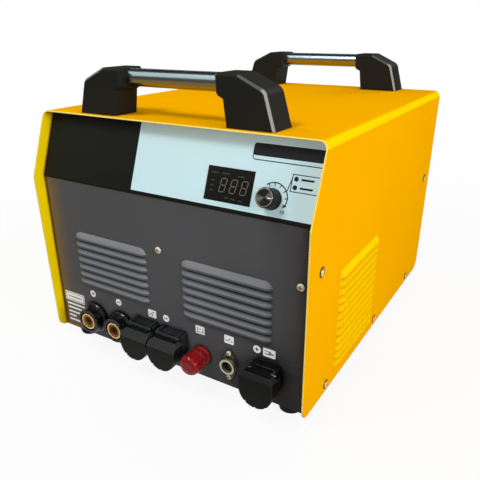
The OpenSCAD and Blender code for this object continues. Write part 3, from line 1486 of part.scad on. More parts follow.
cover();
chassis_base();
front_panel();
rear_panel();
inner_shelf();
overlay_dark();
overlay_light();
display_window();
display_module();
control_board();
current_pot();
pot_shaft();
current_knob();
knob_trim();
mma_shell_positive();
mma_shell_negative();
socket_contacts();
torch_housing_inner();
torch_housing_external();
torch_lid_inner();
torch_lid_external();
torch_stubs();
work_housing();
work_lid();
lid_pins();
terminal_nuts();
post_base();
post_stud();
post_washer();
post_nut();
trigger_shell();
trigger_insert();
panel_screws();
cover_screws();
handle_front_left();
handle_front_right();
handle_rear_left();
handle_rear_right();
handle_tubes();
handle_screws();
rubber_feet();
fan_guard();
fan_frame();
fan_rotor();
breaker_body();
breaker_lever();
cable_gland();
earth_stud();
air_inlet();
compressor_motor();
compressor_heads();
compressor_fans();
compressor_mounts();
transformer_core();
transformer_winding();
output_choke();
heat_sink();
power_board();
solenoid_valve();
air_hoses();
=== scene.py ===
# %% [markdown]
# # A plasma cutting power source
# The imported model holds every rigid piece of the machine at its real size: a folded
# yellow cover, grey panels with pressed louvres, a leaned-back control face, a row of
# terminals and two handles. This script gives each piece its finish, prints the markings
# on the panels, and sets up the camera and a plain studio. Nothing here moves a piece.

# %% Load the model and keep its box
import math

import bmesh
import bpy
from mathutils import Matrix, Vector


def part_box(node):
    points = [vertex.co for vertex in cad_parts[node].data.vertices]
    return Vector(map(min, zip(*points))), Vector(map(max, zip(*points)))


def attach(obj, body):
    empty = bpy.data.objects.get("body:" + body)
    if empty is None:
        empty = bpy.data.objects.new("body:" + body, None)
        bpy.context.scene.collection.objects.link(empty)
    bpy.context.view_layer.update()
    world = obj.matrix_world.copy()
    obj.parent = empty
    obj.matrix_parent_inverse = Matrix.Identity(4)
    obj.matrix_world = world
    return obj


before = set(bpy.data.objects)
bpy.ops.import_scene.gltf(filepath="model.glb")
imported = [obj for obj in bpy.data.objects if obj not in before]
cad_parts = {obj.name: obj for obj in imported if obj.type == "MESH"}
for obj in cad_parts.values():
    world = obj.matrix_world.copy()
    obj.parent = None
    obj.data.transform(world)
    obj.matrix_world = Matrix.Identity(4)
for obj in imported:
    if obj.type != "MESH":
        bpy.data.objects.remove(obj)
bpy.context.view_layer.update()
MM = 0.001
print("pieces in the model:", len(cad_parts))

# %% [markdown]
# ## The planes that carry printing
# A marking is easiest to draw flat, in millimetres, as on a print shop's sheet. Two
# matrices then lay that sheet on the machine: on the vertical front panel, and on the
# control face that leans back from it. Each matrix holds the directions "right", "up" and
# "out" of its plane, so that a height above the sheet is a height above the metal.

# %% Planes of the front panel and the control face
FOOT_H = 12.0
PANEL_Y = -214.0
KINK_Z = FOOT_H + 214.0
FACE_DEPTH, FACE_RISE = 29.0, 76.0
LEAN = math.atan2(FACE_DEPTH, FACE_RISE)
FILM_T = 0.5


def plane(origin, right, up, out):
    """Matrix from millimetres on a flat sheet to metres in the machine's frame."""
    columns = [Vector(v) * MM for v in (right, up, out, origin)]
    m = Matrix.Identity(4)
    for i, c in enumerate(columns):
        m[0][i], m[1][i], m[2][i] = c
    return m


def face_way(right, up, out=0.0):
    """Direction on the control face, from its shares of right, up and out."""
    return (right, up * math.sin(LEAN) - out * math.cos(LEAN),
            up * math.cos(LEAN) + out * math.sin(LEAN))


FRONT = plane((0, PANEL_Y, FOOT_H), (1, 0, 0), (0, 0, 1), (0, -1, 0))
FACE = plane((0, PANEL_Y, KINK_Z), (1, 0, 0), face_way(0, 1), face_way(0, 0, 1))
print("control face leans back by", round(math.degrees(LEAN), 1), "degrees")

# %% [markdown]
# ## Camera
# The lens is a slightly long one, near enough that the vertical edges converge a little.
# The small shifts move the picture's centre off the lens axis, as cropping does.

# %% Camera
EYE = (0.35543, -0.62660, 0.39322)
YAW, PITCH, ROLL = (math.radians(a) for a in (31.94, 23.63, -0.38))
PICTURE_W = 480
FOCAL_PX = 521.7
CENTRE_PX = (236.8, 254.2)
SENSOR_MM = 36.0

look = Vector((-math.sin(YAW) * math.cos(PITCH), math.cos(YAW) * math.cos(PITCH),
               -math.sin(PITCH)))
level = Vector((math.cos(YAW), math.sin(YAW), 0))
above = level.cross(look)
right = math.cos(ROLL) * level + math.sin(ROLL) * above
above = -math.sin(ROLL) * level + math.cos(ROLL) * above

camera_data = bpy.data.cameras.new("camera")
camera_data.sensor_width = SENSOR_MM
camera_data.lens = FOCAL_PX / PICTURE_W * SENSOR_MM
camera_data.shift_x = (PICTURE_W / 2 - CENTRE_PX[0]) / PICTURE_W
camera_data.shift_y = (CENTRE_PX[1] - PICTURE_W / 2) / PICTURE_W
camera_data.clip_start = 0.01
camera = bpy.data.objects.new("camera", camera_data)
camera.matrix_world = Matrix.Translation(EYE) @ Matrix(
    (right, above, -look)).transposed().to_4x4()
bpy.context.collection.objects.link(camera)
bpy.context.scene.camera = camera
bpy.context.scene.view_settings.view_transform = "Standard"
print("lens", round(camera_data.lens, 2), "mm")

# %% [markdown]
# ## Small tools for shader nodes
# The world, the materials and the effects below are all trees of nodes. These helpers
# keep the wiring short: they take a socket or a plain value for every input, and give
# back the output that the next step needs.


# %% Node helpers
def feed(tree, socket, value):
    """Links value to an input where it is a socket, or sets the input to it."""
    if isinstance(value, bpy.types.NodeSocket):
        tree.links.new(value, socket)
    else:
        socket.default_value = value


def maths(tree, operation, a, b=None, c=None, clamp=False):
    """Output of a Math node."""
    node = tree.nodes.new("ShaderNodeMath")
    node.operation = operation
    node.use_clamp = clamp
    for socket, v in zip(node.inputs, (a, b, c)):
        if v is not None:
            feed(tree, socket, v)
    return node.outputs[0]


def vector_maths(tree, operation, a, b=None, out="Vector"):
    """Output of a Vector Math node: its vector or, by name, its value."""
    node = tree.nodes.new("ShaderNodeVectorMath")
    node.operation = operation
    for socket, v in zip(node.inputs, (a, b)):
        if v is not None:
            feed(tree, socket, v)
    return node.outputs[out]


def times(tree, a, b):
    """Product of two values."""
    return maths(tree, "MULTIPLY", a, b)


def dot(tree, a, b):
    """Dot product of two vectors."""
    return vector_maths(tree, "DOT_PRODUCT", a, b, "Value")


def ramp(tree, value, low, high, bottom=0.0):
    """Bottom below low, 1 above high, smooth between."""
    node = tree.nodes.new("ShaderNodeMapRange")
    node.interpolation_type = "SMOOTHSTEP"
    for label, v in (("Value", value), ("From Min", low), ("From Max", high),
                     ("To Min", bottom)):
        feed(tree, node.inputs[label], v)
    return node.outputs["Result"]


def spot(tree):
    """Object coordinates, in metres."""
    return tree.nodes.new("ShaderNodeTexCoord").outputs["Object"]


def true_normal(tree):
    """Normal of the surface, before any bump."""
    return tree.nodes.new("ShaderNodeNewGeometry").outputs["Normal"]


def height_of(tree, vector):
    """The z of a vector."""
    node = tree.nodes.new("ShaderNodeSeparateXYZ")
    feed(tree, node.inputs[0], vector)
    return node.outputs["Z"]


def plainly_seen(tree):
    """1 where the camera, a reflection or something clear sees this, and 0 as a light."""
    rays = tree.nodes.new("ShaderNodeLightPath").outputs
    return maths(tree, "MAXIMUM", rays["Is Camera Ray"],
                 maths(tree, "MAXIMUM", rays["Is Glossy Ray"], rays["Is Transmission Ray"]))


def mix_shaders(tree, factor, a, b):
    """Output of a Mix Shader node."""
    node = tree.nodes.new("ShaderNodeMixShader")
    for socket, v in zip(node.inputs, (factor, a, b)):
        feed(tree, socket, v)
    return node.outputs[0]


# %% [markdown]
# ## Studio
# A white sweep, a high lamp over the front and a soft one from the right are how such a
# machine is usually shot, with weak lamps so that no side is lost. The world is white
# where the lens or a reflection sees it, and dimmer as a light, so that colours come out
# as they are written. Polished metal needs something dark to reflect or it disappears
# into the white: cards hang outside the picture, and only reflections see them.

# %% World
WORLD_LIGHT = 0.26

world = bpy.data.worlds.new("studio")
bpy.context.scene.world = world
world.use_nodes = True
sky = world.node_tree
sky.nodes.clear()


def background(strength):
    """Output of a white background of this strength."""
    node = sky.nodes.new("ShaderNodeBackground")
    node.inputs["Color"].default_value = (1, 1, 1, 1)
    node.inputs["Strength"].default_value = strength
    return node.outputs[0]


feed(sky, sky.nodes.new("ShaderNodeOutputWorld").inputs["Surface"],
     mix_shaders(sky, plainly_seen(sky), background(WORLD_LIGHT), background(1.0)))
print("world light", WORLD_LIGHT)


# %% Lamps
def soft_lamp(name, place, aim, size, watts):
    """Square area lamp at place that points at aim."""
    data = bpy.data.lights.new(name, "AREA")
    data.shape = "SQUARE"
    data.size = size
    data.energy = watts
    lamp = bpy.data.objects.new(name, data)
    way = Vector(aim) - Vector(place)
    lamp.matrix_world = (Matrix.Translation(place)
                         @ way.to_track_quat("-Z", "Y").to_matrix().to_4x4())
    bpy.context.collection.objects.link(lamp)
    print(name, watts, "W")


soft_lamp("high_lamp", (-0.4, -1.0, 1.7), (0, -0.1, 0.2), 0.5, 13)
soft_lamp("right_lamp", (2.0, -0.6, 0.8), (0.1, 0, 0.15), 0.9, 29)
soft_lamp("front_lamp", (0.3, -2.0, 0.5), (0, -0.1, 0.15), 0.8, 6)
soft_lamp("back_lamp", (0.5, 1.7, 1.0), (0, 0, 0.15), 0.9, 9)
soft_lamp("left_lamp", (-1.9, 0.3, 0.8), (0, 0, 0.15), 0.9, 16)


# %% Cards for the reflections
def dull_paper(name, colour, roughness):
    """Plain material without any gloss."""
    material = bpy.data.materials.new(name)
    material.use_nodes = True
    paper = material.node_tree.nodes["Principled BSDF"].inputs
    for label, v in (("Base Color", (*colour, 1)), ("Roughness", roughness),
                     ("Specular IOR Level", 0.0)):
        paper[label].default_value = v
    return material


def sheet(name, material, corners):
    """Flat sheet of the studio, which isn't part of the machine."""
    mesh = bpy.data.meshes.new(name)
    mesh.from_pydata(corners, [], [tuple(range(len(corners)))])
    mesh.materials.append(material)
    obj = bpy.data.objects.new(name, mesh)
    bpy.context.collection.objects.link(obj)
    return obj


CARD_HALF = 5


def card(name, grey, low, high):
    """Wide dull card between two lines, each a pair of y and z; only reflections see it."""
    obj = sheet(name, dull_paper(name, grey, 1.0),
                [(-CARD_HALF, *low), (CARD_HALF, *low), (CARD_HALF, *high),
                 (-CARD_HALF, *high)])
    for kind in ("camera", "diffuse", "transmission", "volume_scatter", "shadow"):
        setattr(obj, "visible_" + kind, False)


card("back_card", (0.03, 0.04, 0.06), (1.6, 0.01), (1.6, 1.5))
card("ceiling_card", (0.05, 0.06, 0.08), (1.6, 1.8), (-0.62, 2.8))
card("front_card", (0.4, 0.43, 0.42), (-2.6, 0.01), (-2.6, 1.5))
card("low_card", (0.42, 0.33, 0.13), (-2.59, 0.004), (-0.3, 0.004))

# %% Floor: white paper that fades into the white behind it
FLOOR_HALF = 6.0
FADE_FROM, FADE_TO = 0.5, 1.4
WHITE_SHARE = 0.9

white_sweep = dull_paper("white_sweep", (0.86, 0.86, 0.86), 0.9)
sheet("floor", white_sweep, [(FLOOR_HALF * x, FLOOR_HALF * y, 0)
                             for x, y in ((-1, -1), (1, -1), (1, 1), (-1, 1))])
sweep = white_sweep.node_tree
dim_paper = sweep.nodes.new("ShaderNodeBsdfDiffuse")
dim_paper.inputs["Color"].default_value = (0.3, 0.3, 0.3, 1)
seen = plainly_seen(sweep)
away = vector_maths(sweep, "LENGTH", spot(sweep), out="Value")
whiteness = times(sweep, seen, ramp(sweep, away, FADE_FROM, FADE_TO, bottom=WHITE_SHARE))
lit_paper = mix_shaders(sweep, seen, dim_paper.outputs[0],
                        sweep.nodes["Principled BSDF"].outputs[0])
feed(sweep, sweep.nodes["Material Output"].inputs["Surface"],
     mix_shaders(sweep, whiteness, lit_paper,
                 sweep.nodes.new("ShaderNodeEmission").outputs[0]))
print("studio ready")

# %% [markdown]
# ## Surface effects, built once
# Paint, plastic and metal differ in colour and gloss, but they share the same few things: a
# fine grain, dust on what faces up, hairlines, ridges and turned rings, and painted light:
# highlights on edges, light on faces that lean back or turn to one side, a bow-tie on turned
# faces, and shade in slits and under lips. Each effect is a node group with named sockets, so
# one improvement reaches every finish. Object coordinates are metres here, which makes every
# scale a real size.


# %% Helpers that start a node group and make noise
def effect_group(name, inputs, *outputs):
    """New shader group, with the sockets that come in and the ones it has to fill."""
    group = bpy.data.node_groups.new(name, "ShaderNodeTree")
    for label, default in inputs.items():
        kind = "NodeSocketVector" if isinstance(default, tuple) else "NodeSocketFloat"
        socket = group.interface.new_socket(name=label, in_out="INPUT", socket_type=kind)
        socket.default_value = default
    for label in outputs:
        kind = "NodeSocketVector" if label == "Normal" else "NodeSocketFloat"
        group.interface.new_socket(name=label, in_out="OUTPUT", socket_type=kind)
    return (group, group.nodes.new("NodeGroupInput").outputs,
            group.nodes.new("NodeGroupOutput").inputs)


def noise(tree, scale, detail=2.0, coords=None):
    """Noise over object coordinates, or over other ones."""
    node = tree.nodes.new("ShaderNodeTexNoise")
    coords = spot(tree) if coords is None else coords
    for label, v in (("Scale", scale), ("Detail", detail), ("Vector", coords)):
        feed(tree, node.inputs[label], v)
    return node.outputs["Fac"]


# %% Grain: the fine texture of a coating or a moulding
grain, g_in, g_out = effect_group("surface grain", {"Scale": 800.0}, "Height", "Tone")
feed(grain, g_out["Height"], noise(grain, g_in["Scale"], 3.0))
feed(grain, g_out["Tone"], ramp(grain, noise(grain, 9.0), 0.3, 0.7))

# %% Soft edges: a normal that rounds every corner, and a mask of those corners, where highlights get painted
edges, e_in, e_out = effect_group(
    "soft edges", {"Radius": 0.0005, "Breakup": 120.0, "Full bend": 0.2}, "Normal", "Edge")
rounded = edges.nodes.new("ShaderNodeBevel")
rounded.samples = 4
feed(edges, rounded.inputs["Radius"], e_in["Radius"])
bend = maths(edges, "SUBTRACT", 1.0, dot(edges, rounded.outputs[0], true_normal(edges)))
broken = maths(edges, "MULTIPLY_ADD",
               ramp(edges, noise(edges, e_in["Breakup"], 3.0), 0.35, 0.65), 0.5, 0.5)
feed(edges, e_out["Normal"], rounded.outputs[0])
feed(edges, e_out["Edge"],
     times(edges, ramp(edges, bend, 0.01, e_in["Full bend"]), broken))

# %% Dust: settles on what faces up, in soft patches
dust, d_in, d_out = effect_group("settled dust", {"Scale": 30.0}, "Dust")
upward = ramp(dust, height_of(dust, true_normal(dust)), 0.2, 0.95)
patches = ramp(dust, noise(dust, d_in["Scale"], 4.0), 0.42, 0.75)
feed(dust, d_out["Dust"], times(dust, upward, patches))

# %% Hairlines: long thin marks, stretched along one direction
hairlines, h_in, h_out = effect_group(
    "hairlines", {"Stretch": (1.0, 1.0, 1.0), "Scale": 200.0}, "Height", "Line")
streak = noise(hairlines, h_in["Scale"], 3.0,
               vector_maths(hairlines, "MULTIPLY", spot(hairlines), h_in["Stretch"]))
feed(hairlines, h_out["Height"], streak)
feed(hairlines, h_out["Line"], ramp(hairlines, streak, 0.55, 0.72))

# %% Ridges: even ones along one direction, for wire, laminations and threads, with painted shade in their valleys
ridge_rows, t_in, t_out = effect_group(
    "even ridges", {"Along": (0.0, 0.0, 1.0), "Per metre": 500.0}, "Height", "Valley")
distance = dot(ridge_rows, spot(ridge_rows), t_in["Along"])
phase = maths(ridge_rows, "FRACT", times(ridge_rows, distance, t_in["Per metre"]))
ridge = maths(ridge_rows, "SINE", times(ridge_rows, phase, math.pi))
feed(ridge_rows, t_out["Height"], ridge)
feed(ridge_rows, t_out["Valley"],
     maths(ridge_rows, "SUBTRACT", 1.0, ramp(ridge_rows, ridge, 0.0, 0.5)))

# %% Tilted faces: a mask of what leans back a little, such as a louvre's hood, where light from above gets painted
tilt, l_in, l_out = effect_group("tilted faces", {"Share": 1.0}, "Mask")
rise = height_of(tilt, true_normal(tilt))
leaning = maths(tilt, "SUBTRACT", ramp(tilt, rise, 0.03, 0.22),
                ramp(tilt, rise, 0.8, 0.97), clamp=True)
feed(tilt, l_out["Mask"], times(tilt, leaning, l_in["Share"]))

# %% Facing: a mask of the faces whose normal lies in a band round one axis, for painted highlights and shade
facing, f_in, f_out = effect_group(
    "facing band", {"Normal": (0.0, 0.0, 1.0), "Axis": (0.0, -1.0, 0.0), "From": 0.85,
                    "To": 0.95}, "Mask")
square_on = dot(facing, f_in["Normal"], f_in["Axis"])
feed(facing, f_out["Mask"], ramp(facing, square_on, f_in["From"], f_in["To"]))

# %% One side: a mask that grows along an axis of the machine
one_side, w_in, w_out = effect_group(
    "one side", {"Axis": (1.0, 0.0, 0.0), "From": -2.0, "To": -1.0}, "Mask")
along_axis = dot(one_side, spot(one_side), w_in["Axis"])
feed(one_side, w_out["Mask"], ramp(one_side, along_axis, w_in["From"], w_in["To"]))

# %% Crevices: a mask of slits, seams and corners that light hardly reaches, where shade gets painted
crevices, c_in, c_out = effect_group(
    "crevices", {"Distance": 0.004, "Faint": 0.12, "Deep": 0.5}, "Crevice")
reach = crevices.nodes.new("ShaderNodeAmbientOcclusion")
reach.samples = 6
feed(crevices, reach.inputs["Distance"], c_in["Distance"])
shut_in = maths(crevices, "SUBTRACT", 1.0, reach.outputs["AO"])
feed(crevices, c_out["Crevice"], ramp(crevices, shut_in, c_in["Faint"], c_in["Deep"]))

# %% Turned rings: fine circles round an axis, as a lathe leaves them
lathe_rings, r_in, r_out = effect_group(
    "turned rings", {"Centre": (0.0, 0.0, 0.0), "Axis": (0.0, -1.0, 0.0),
                     "Per metre": 3000.0}, "Height")
from_centre = vector_maths(lathe_rings, "SUBTRACT", spot(lathe_rings), r_in["Centre"])
across = vector_maths(lathe_rings, "CROSS_PRODUCT", from_centre, r_in["Axis"])
rings_out = times(lathe_rings, vector_maths(lathe_rings, "LENGTH", across, out="Value"),
                  r_in["Per metre"])
feed(lathe_rings, r_out["Height"],
     maths(lathe_rings, "SINE", times(lathe_rings, rings_out, 2 * math.pi)))

# %% Louvre rows: painted light and shade on each hood, light at its lip and shade where the next one overhangs it
louvre_rows, o_in, o_out = effect_group(
    "louvre rows", {"Lip height": 0.0, "Pitch": 0.01, "Rows": 7.0}, "Shade")
above_lip = maths(louvre_rows, "SUBTRACT", height_of(louvre_rows, spot(louvre_rows)),
                  o_in["Lip height"])
rows_up = maths(louvre_rows, "DIVIDE", above_lip, o_in["Pitch"])
below_top = maths(louvre_rows, "LESS_THAN", rows_up,
                  maths(louvre_rows, "SUBTRACT", o_in["Rows"], 0.8))
overhung = ramp(louvre_rows, maths(louvre_rows, "FRACT", rows_up), 0.06, 0.78)
feed(louvre_rows, o_out["Shade"], times(louvre_rows, below_top, overhung))

# %% Spun streaks: a painted highlight, the bow-tie of light on a lathe-turned face
bow_tie, p_in, p_out = effect_group(
    "spun streaks", {"Centre": (0.0, 0.0, 0.0), "Axis": (0.0, -1.0, 0.0),
                     "Streak": (1.0, 0.0, 0.0)}, "Mask")
spoke = vector_maths(bow_tie, "NORMALIZE", vector_maths(
    bow_tie, "SUBTRACT", spot(bow_tie), p_in["Centre"]))
along_streak = maths(bow_tie, "ABSOLUTE", dot(bow_tie, spoke, p_in["Streak"]))
bow = times(bow_tie, ramp(bow_tie, along_streak, 0.7, 1.0),
            ramp(bow_tie, noise(bow_tie, 14.0, coords=spoke), 0.3, 0.65))
end_on = dot(bow_tie, true_normal(bow_tie), p_in["Axis"])
feed(bow_tie, p_out["Mask"], times(bow_tie, bow, ramp(bow_tie, end_on, 0.9, 0.98)))
print("effects:", [g.name for g in bpy.data.node_groups])

# %% [markdown]
# ## One recipe for every finish
# Each finish is its own Principled shader, fed by the groups above. The recipe starts from a
# colour and a gloss, lets broad patches shift both a little, paints light on tilted faces and
# in bands, paints highlights on the edges and shade in slits and corners, lays dust on top, and
# adds the grain as bump. What makes yellow powder coat differ from black moulding is then only
# a line of numbers.


# %% Colours and masks
def srgb(r, g, b):
    """Linear colour from 0-255 screen values."""
    def linear(v):
        v /= 255.0
        return v / 12.92 if v <= 0.04045 else ((v + 0.055) / 1.055) ** 2.4
    return tuple(linear(v) for v in (r, g, b))


def blend_colour(tree, factor, a, b):
    """Mix of colours a and b (sockets or tuples) by a factor socket."""
    node = tree.nodes.new("ShaderNodeMix")
    node.data_type = "RGBA"
    tree.links.new(factor, node.inputs[0])
    for slot, v in ((6, a), (7, b)):
        feed(tree, node.inputs[slot], (*v, 1) if isinstance(v, tuple) else v)
    return node.outputs[2]


def effect(tree, group, **values):
    """Places a group in a material, sets its inputs by name and returns its outputs."""
    node = tree.nodes.new("ShaderNodeGroup")
    node.node_tree = group
    for label, v in values.items():
        feed(tree, node.inputs[label.replace("_", " ")], v)
    return node.outputs


def on_side(tree, mask, share, side=None):
    """Mask times a share, kept to one side where an axis and its limits are given."""
    mask = times(tree, mask, share)
    if side:
        half = effect(tree, one_side, Axis=side[0], From=side[1], To=side[2])
        mask = times(tree, mask, half["Mask"])
    return mask


# %% The recipe
DUST_COLOUR = srgb(168, 162, 150)
PATCH_ROUGHNESS, LINE_ROUGHNESS, COAT_ROUGHNESS = 0.06, 0.12, 0.12
LINE_SHARE, VALLEY_SHARE, VALLEY_TONE = 0.25, 0.7, 0.25
NOOK_FAINT, NOOK_DEEP = 0.03, 0.32
BUMP_STRENGTH = 0.6


def finish(name, colour, gloss, metal=0.0, tone=0.9, grain_scale=900.0, grain_mm=0.02,
           edge_mm=0.4, edge_highlight=None, edge_share=0.5, dust_share=0.0,
           full_bend=0.2, lines=None, ridges=None, specular=0.15, coat=0.0, painted_top_light=None,
           louvres=None, crevice_shade=None, nook_shade_and_bounce=(), turned=None, streaks=None, light_and_shade_bands=()):
    """Principled material for one finish; gloss runs from 0, matt, to 1, mirror."""
    material = bpy.data.materials.new(name)
    material.use_nodes = True
    tree = material.node_tree
    shader = tree.nodes["Principled BSDF"].inputs
    texture = effect(tree, grain, Scale=grain_scale)
    corner = effect(tree, edges, Radius=edge_mm * MM, Full_bend=full_bend)
    shade = blend_colour(tree, texture["Tone"], tuple(c * tone for c in colour), colour)
    height = texture["Height"]
    rough = maths(tree, "MULTIPLY_ADD", texture["Tone"], PATCH_ROUGHNESS, 1.0 - gloss)

    def paint(mask, share, tint, side=None):
        """The colour so far with a tint where the mask is."""
        return blend_colour(tree, on_side(tree, mask, share, side), shade, tint)

    if lines:
        marks = effect(tree, hairlines, Stretch=lines[0], Scale=lines[1])
        shade = paint(marks["Line"], LINE_SHARE,
                      tuple(min(1, c * 1.5 + 0.02) for c in colour))
        height = maths(tree, "ADD", height, marks["Height"])
        rough = maths(tree, "MULTIPLY_ADD", marks["Line"], LINE_ROUGHNESS, rough)
    # Painted shade in the valleys between ridges
    if ridges:
        rows = effect(tree, ridge_rows, Along=ridges[0], Per_metre=ridges[1])
        shade = paint(rows["Valley"], VALLEY_SHARE, tuple(c * VALLEY_TONE for c in colour))
        height = maths(tree, "MULTIPLY_ADD", rows["Height"], ridges[2], height)
    # Painted light on faces that lean back: lit louvre hoods and lid tops, and a painted
    # reflection on chrome
    if painted_top_light:
        leaning = effect(tree, tilt, Share=painted_top_light[1])["Mask"]
        shade = blend_colour(tree, leaning, shade, painted_top_light[0])
        # Painted shade under each louvre's lip, on the same faces
        if louvres:
            row = effect(tree, louvre_rows, Lip_height=louvres[0], Rows=louvres[1],
                         Pitch=LOUVRE_PITCH * MM)
            shade = paint(row["Shade"], leaning, louvres[2])
    # Painted highlights and shade on faces that turn to one axis, such as bright rims and
    # bevels, or a flange in shade
    for axis, limits, tint, share, side in light_and_shade_bands:
        rim = effect(tree, facing, Normal=corner["Normal"], Axis=axis,
                     From=limits[0], To=limits[1])
        shade = paint(rim["Mask"], share, tint, side)
    # A painted highlight: the bow-tie of light on a turned face
    if streaks:
        spun = effect(tree, bow_tie, Centre=streaks[0], Axis=streaks[1],
                      Streak=streaks[2])
        shade = blend_colour(tree, spun["Mask"], shade, streaks[3])
    if turned:
        circles = effect(tree, lathe_rings, Centre=turned[0], Axis=turned[1],
                         Per_metre=turned[2])
        height = maths(tree, "MULTIPLY_ADD", circles["Height"], turned[3], height)
    # Painted highlights along the rounded edges
    if edge_highlight:
        shade = paint(corner["Edge"], edge_share, edge_highlight)
    # Painted shade near deep corners, tinted warm where it stands for light bounced from the
    # yellow cover
    for tint, reach_mm, share, side in nook_shade_and_bounce:
        near = effect(tree, crevices, Distance=reach_mm * MM, Faint=NOOK_FAINT,
                      Deep=NOOK_DEEP)
        shade = paint(near["Crevice"], share, tint, side)
    # Painted shade in slits, seams and bores
    if crevice_shade:
        slit = effect(tree, crevices, Distance=crevice_shade[1] * MM)
        shade = paint(slit["Crevice"], crevice_shade[2], crevice_shade[0])
    if dust_share:
        amount = times(tree, effect(tree, dust)["Dust"], dust_share)
        shade = blend_colour(tree, amount, shade, DUST_COLOUR)
        rough = maths(tree, "ADD", rough, amount, clamp=True)
    bump = tree.nodes.new("ShaderNodeBump")
    for label, v in (("Distance", grain_mm * MM), ("Strength", BUMP_STRENGTH),
                     ("Height", height), ("Normal", corner["Normal"])):
        feed(tree, bump.inputs[label], v)
    for label, v in (("Metallic", metal), ("Specular IOR Level", specular),
                     ("Coat Weight", coat), ("Coat Roughness", COAT_ROUGHNESS),
                     ("Base Color", shade), ("Roughness", rough),
                     ("Normal", bump.outputs["Normal"])):
        feed(tree, shader[label], v)
    return material


def dress(material, *names):
    """Gives the material to carried-over pieces of the model."""
    for name in names:
        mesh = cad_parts[name].data
        mesh.materials.clear()
        mesh.materials.append(material)
    print(material.name, "->", ", ".join(names))


# %% [markdown]
# ## Painted sheet metal
# The cover is yellow powder coat: saturated, with a faint orange-peel ripple, painted
# highlights along its bends and front edges, and painted shade in its slits; the inner face of
# its left flange is painted brighter, as if lit. The panels are a dark grey with a finer
# texture, with painted highlights on their edges and painted shade in slits and seams; on the
# front panel, painted shade gathers near the corners of its right part, and a painted warm
# light bounced from the yellow flange lies on its left part. The shelf inside is bare
# zinc-plated sheet. The louvres' hoods are lit at their lips and shaded above them, and that
# light is part of the paint, so that it holds in a small picture.

# %% Paint finishes
WIDTH, DEPTH, FORWARD = (1, 0, 0), (0, 1, 0), (0, -1, 0)
LOUVRE_PITCH = 10.2
FRONT_LIP, FRONT_ROWS = FOOT_H + 78.2, 7
SIDE_LIP, SIDE_ROWS = FOOT_H + 20.5, 12
GREY_COAT = dict(colour=srgb(84, 84, 87), gloss=0.5, tone=0.94, grain_scale=1500,
                 grain_mm=0.03, edge_mm=0.6, edge_highlight=srgb(118, 116, 114),
                 dust_share=0.04, crevice_shade=(srgb(14, 14, 16), 8.0, 1.0))

dress(finish("yellow powder coat", srgb(255, 180, 0), 0.62, tone=0.975, grain_scale=700,
             edge_mm=0.8, edge_highlight=srgb(255, 226, 84), edge_share=0.85,
             specular=0.0, painted_top_light=(srgb(255, 218, 4), 0.9),
             louvres=(SIDE_LIP * MM, SIDE_ROWS, srgb(240, 176, 0)),
             light_and_shade_bands=[(FORWARD, (0.6, 0.8), srgb(255, 238, 140), 0.8, None),
                    (WIDTH, (0.8, 0.9), srgb(255, 222, 8), 1.0, (WIDTH, -0.17, -0.178))],
             crevice_shade=(srgb(150, 88, 0), 4.0, 0.9)), "cover")
dress(finish("grey textured coat", **GREY_COAT), "rear_panel", "chassis_base")
dress(finish("grey coat with louvres", painted_top_light=(srgb(136, 139, 144), 0.9),
             louvres=(FRONT_LIP * MM, FRONT_ROWS, srgb(16, 16, 18)),
             nook_shade_and_bounce=[(srgb(28, 24, 20), 60.0, 0.95, (WIDTH, 0.04, 0.11)),
                    (srgb(150, 108, 30), 30.0, 0.6, (WIDTH, -0.13, -0.165))],
             **GREY_COAT), "front_panel")
dress(finish("zinc plated sheet", srgb(176, 178, 182), 0.6, metal=1.0, grain_scale=120,
             grain_mm=0.01, edge_mm=0.3, lines=((1.0, 12.0, 12.0), 60.0)), "inner_shelf")

# %% [markdown]
# ## Printed films and the display
# The control face wears two printed films, a near-black one on the left and a pale blue one
# around the controls. Both are satin plastic, quite flat, with only a whisper of grain. The
# window is smoked acrylic, glossy enough to mirror the room, with a painted highlight along its
# edges.

# %% Film and window finishes
FILM = dict(gloss=0.6, grain_scale=2500, grain_mm=0.006, edge_mm=0.15, specular=0.08)
dress(finish("near-black film", srgb(26, 27, 23), **FILM), "overlay_dark")
dress(finish("pale blue film", srgb(210, 240, 245), tone=0.97, **FILM), "overlay_light")
dress(finish("smoked acrylic", srgb(26, 25, 22), 0.88, tone=0.8, grain_scale=2500,
             grain_mm=0.002, edge_mm=0.25, edge_highlight=srgb(70, 70, 68), specular=0.35),
      "display_window")

# %% [markdown]
# ## Moulded plastics and rubber
# The terminal shells are glossy black phenolic, the lids a lightly grained black with painted
# light on their tops, and the handle brackets a satin black whose bevels carry painted
# highlights as pale lines. Edges everywhere carry painted highlights, and slits painted shade.
# The pilot arc post is a deep red. The knob's face is turned, and the bow-tie of light that
# runs over it is painted. Rubber is the dullest of all.

# %% Plastic finishes
SLIT_SHADE_BLACK = srgb(4, 4, 4)
BLACK_LID = dict(tone=0.7, edge_mm=0.8, edge_share=0.8, full_bend=0.12, specular=0.1,
                 crevice_shade=(SLIT_SHADE_BLACK, 2.5, 0.9))

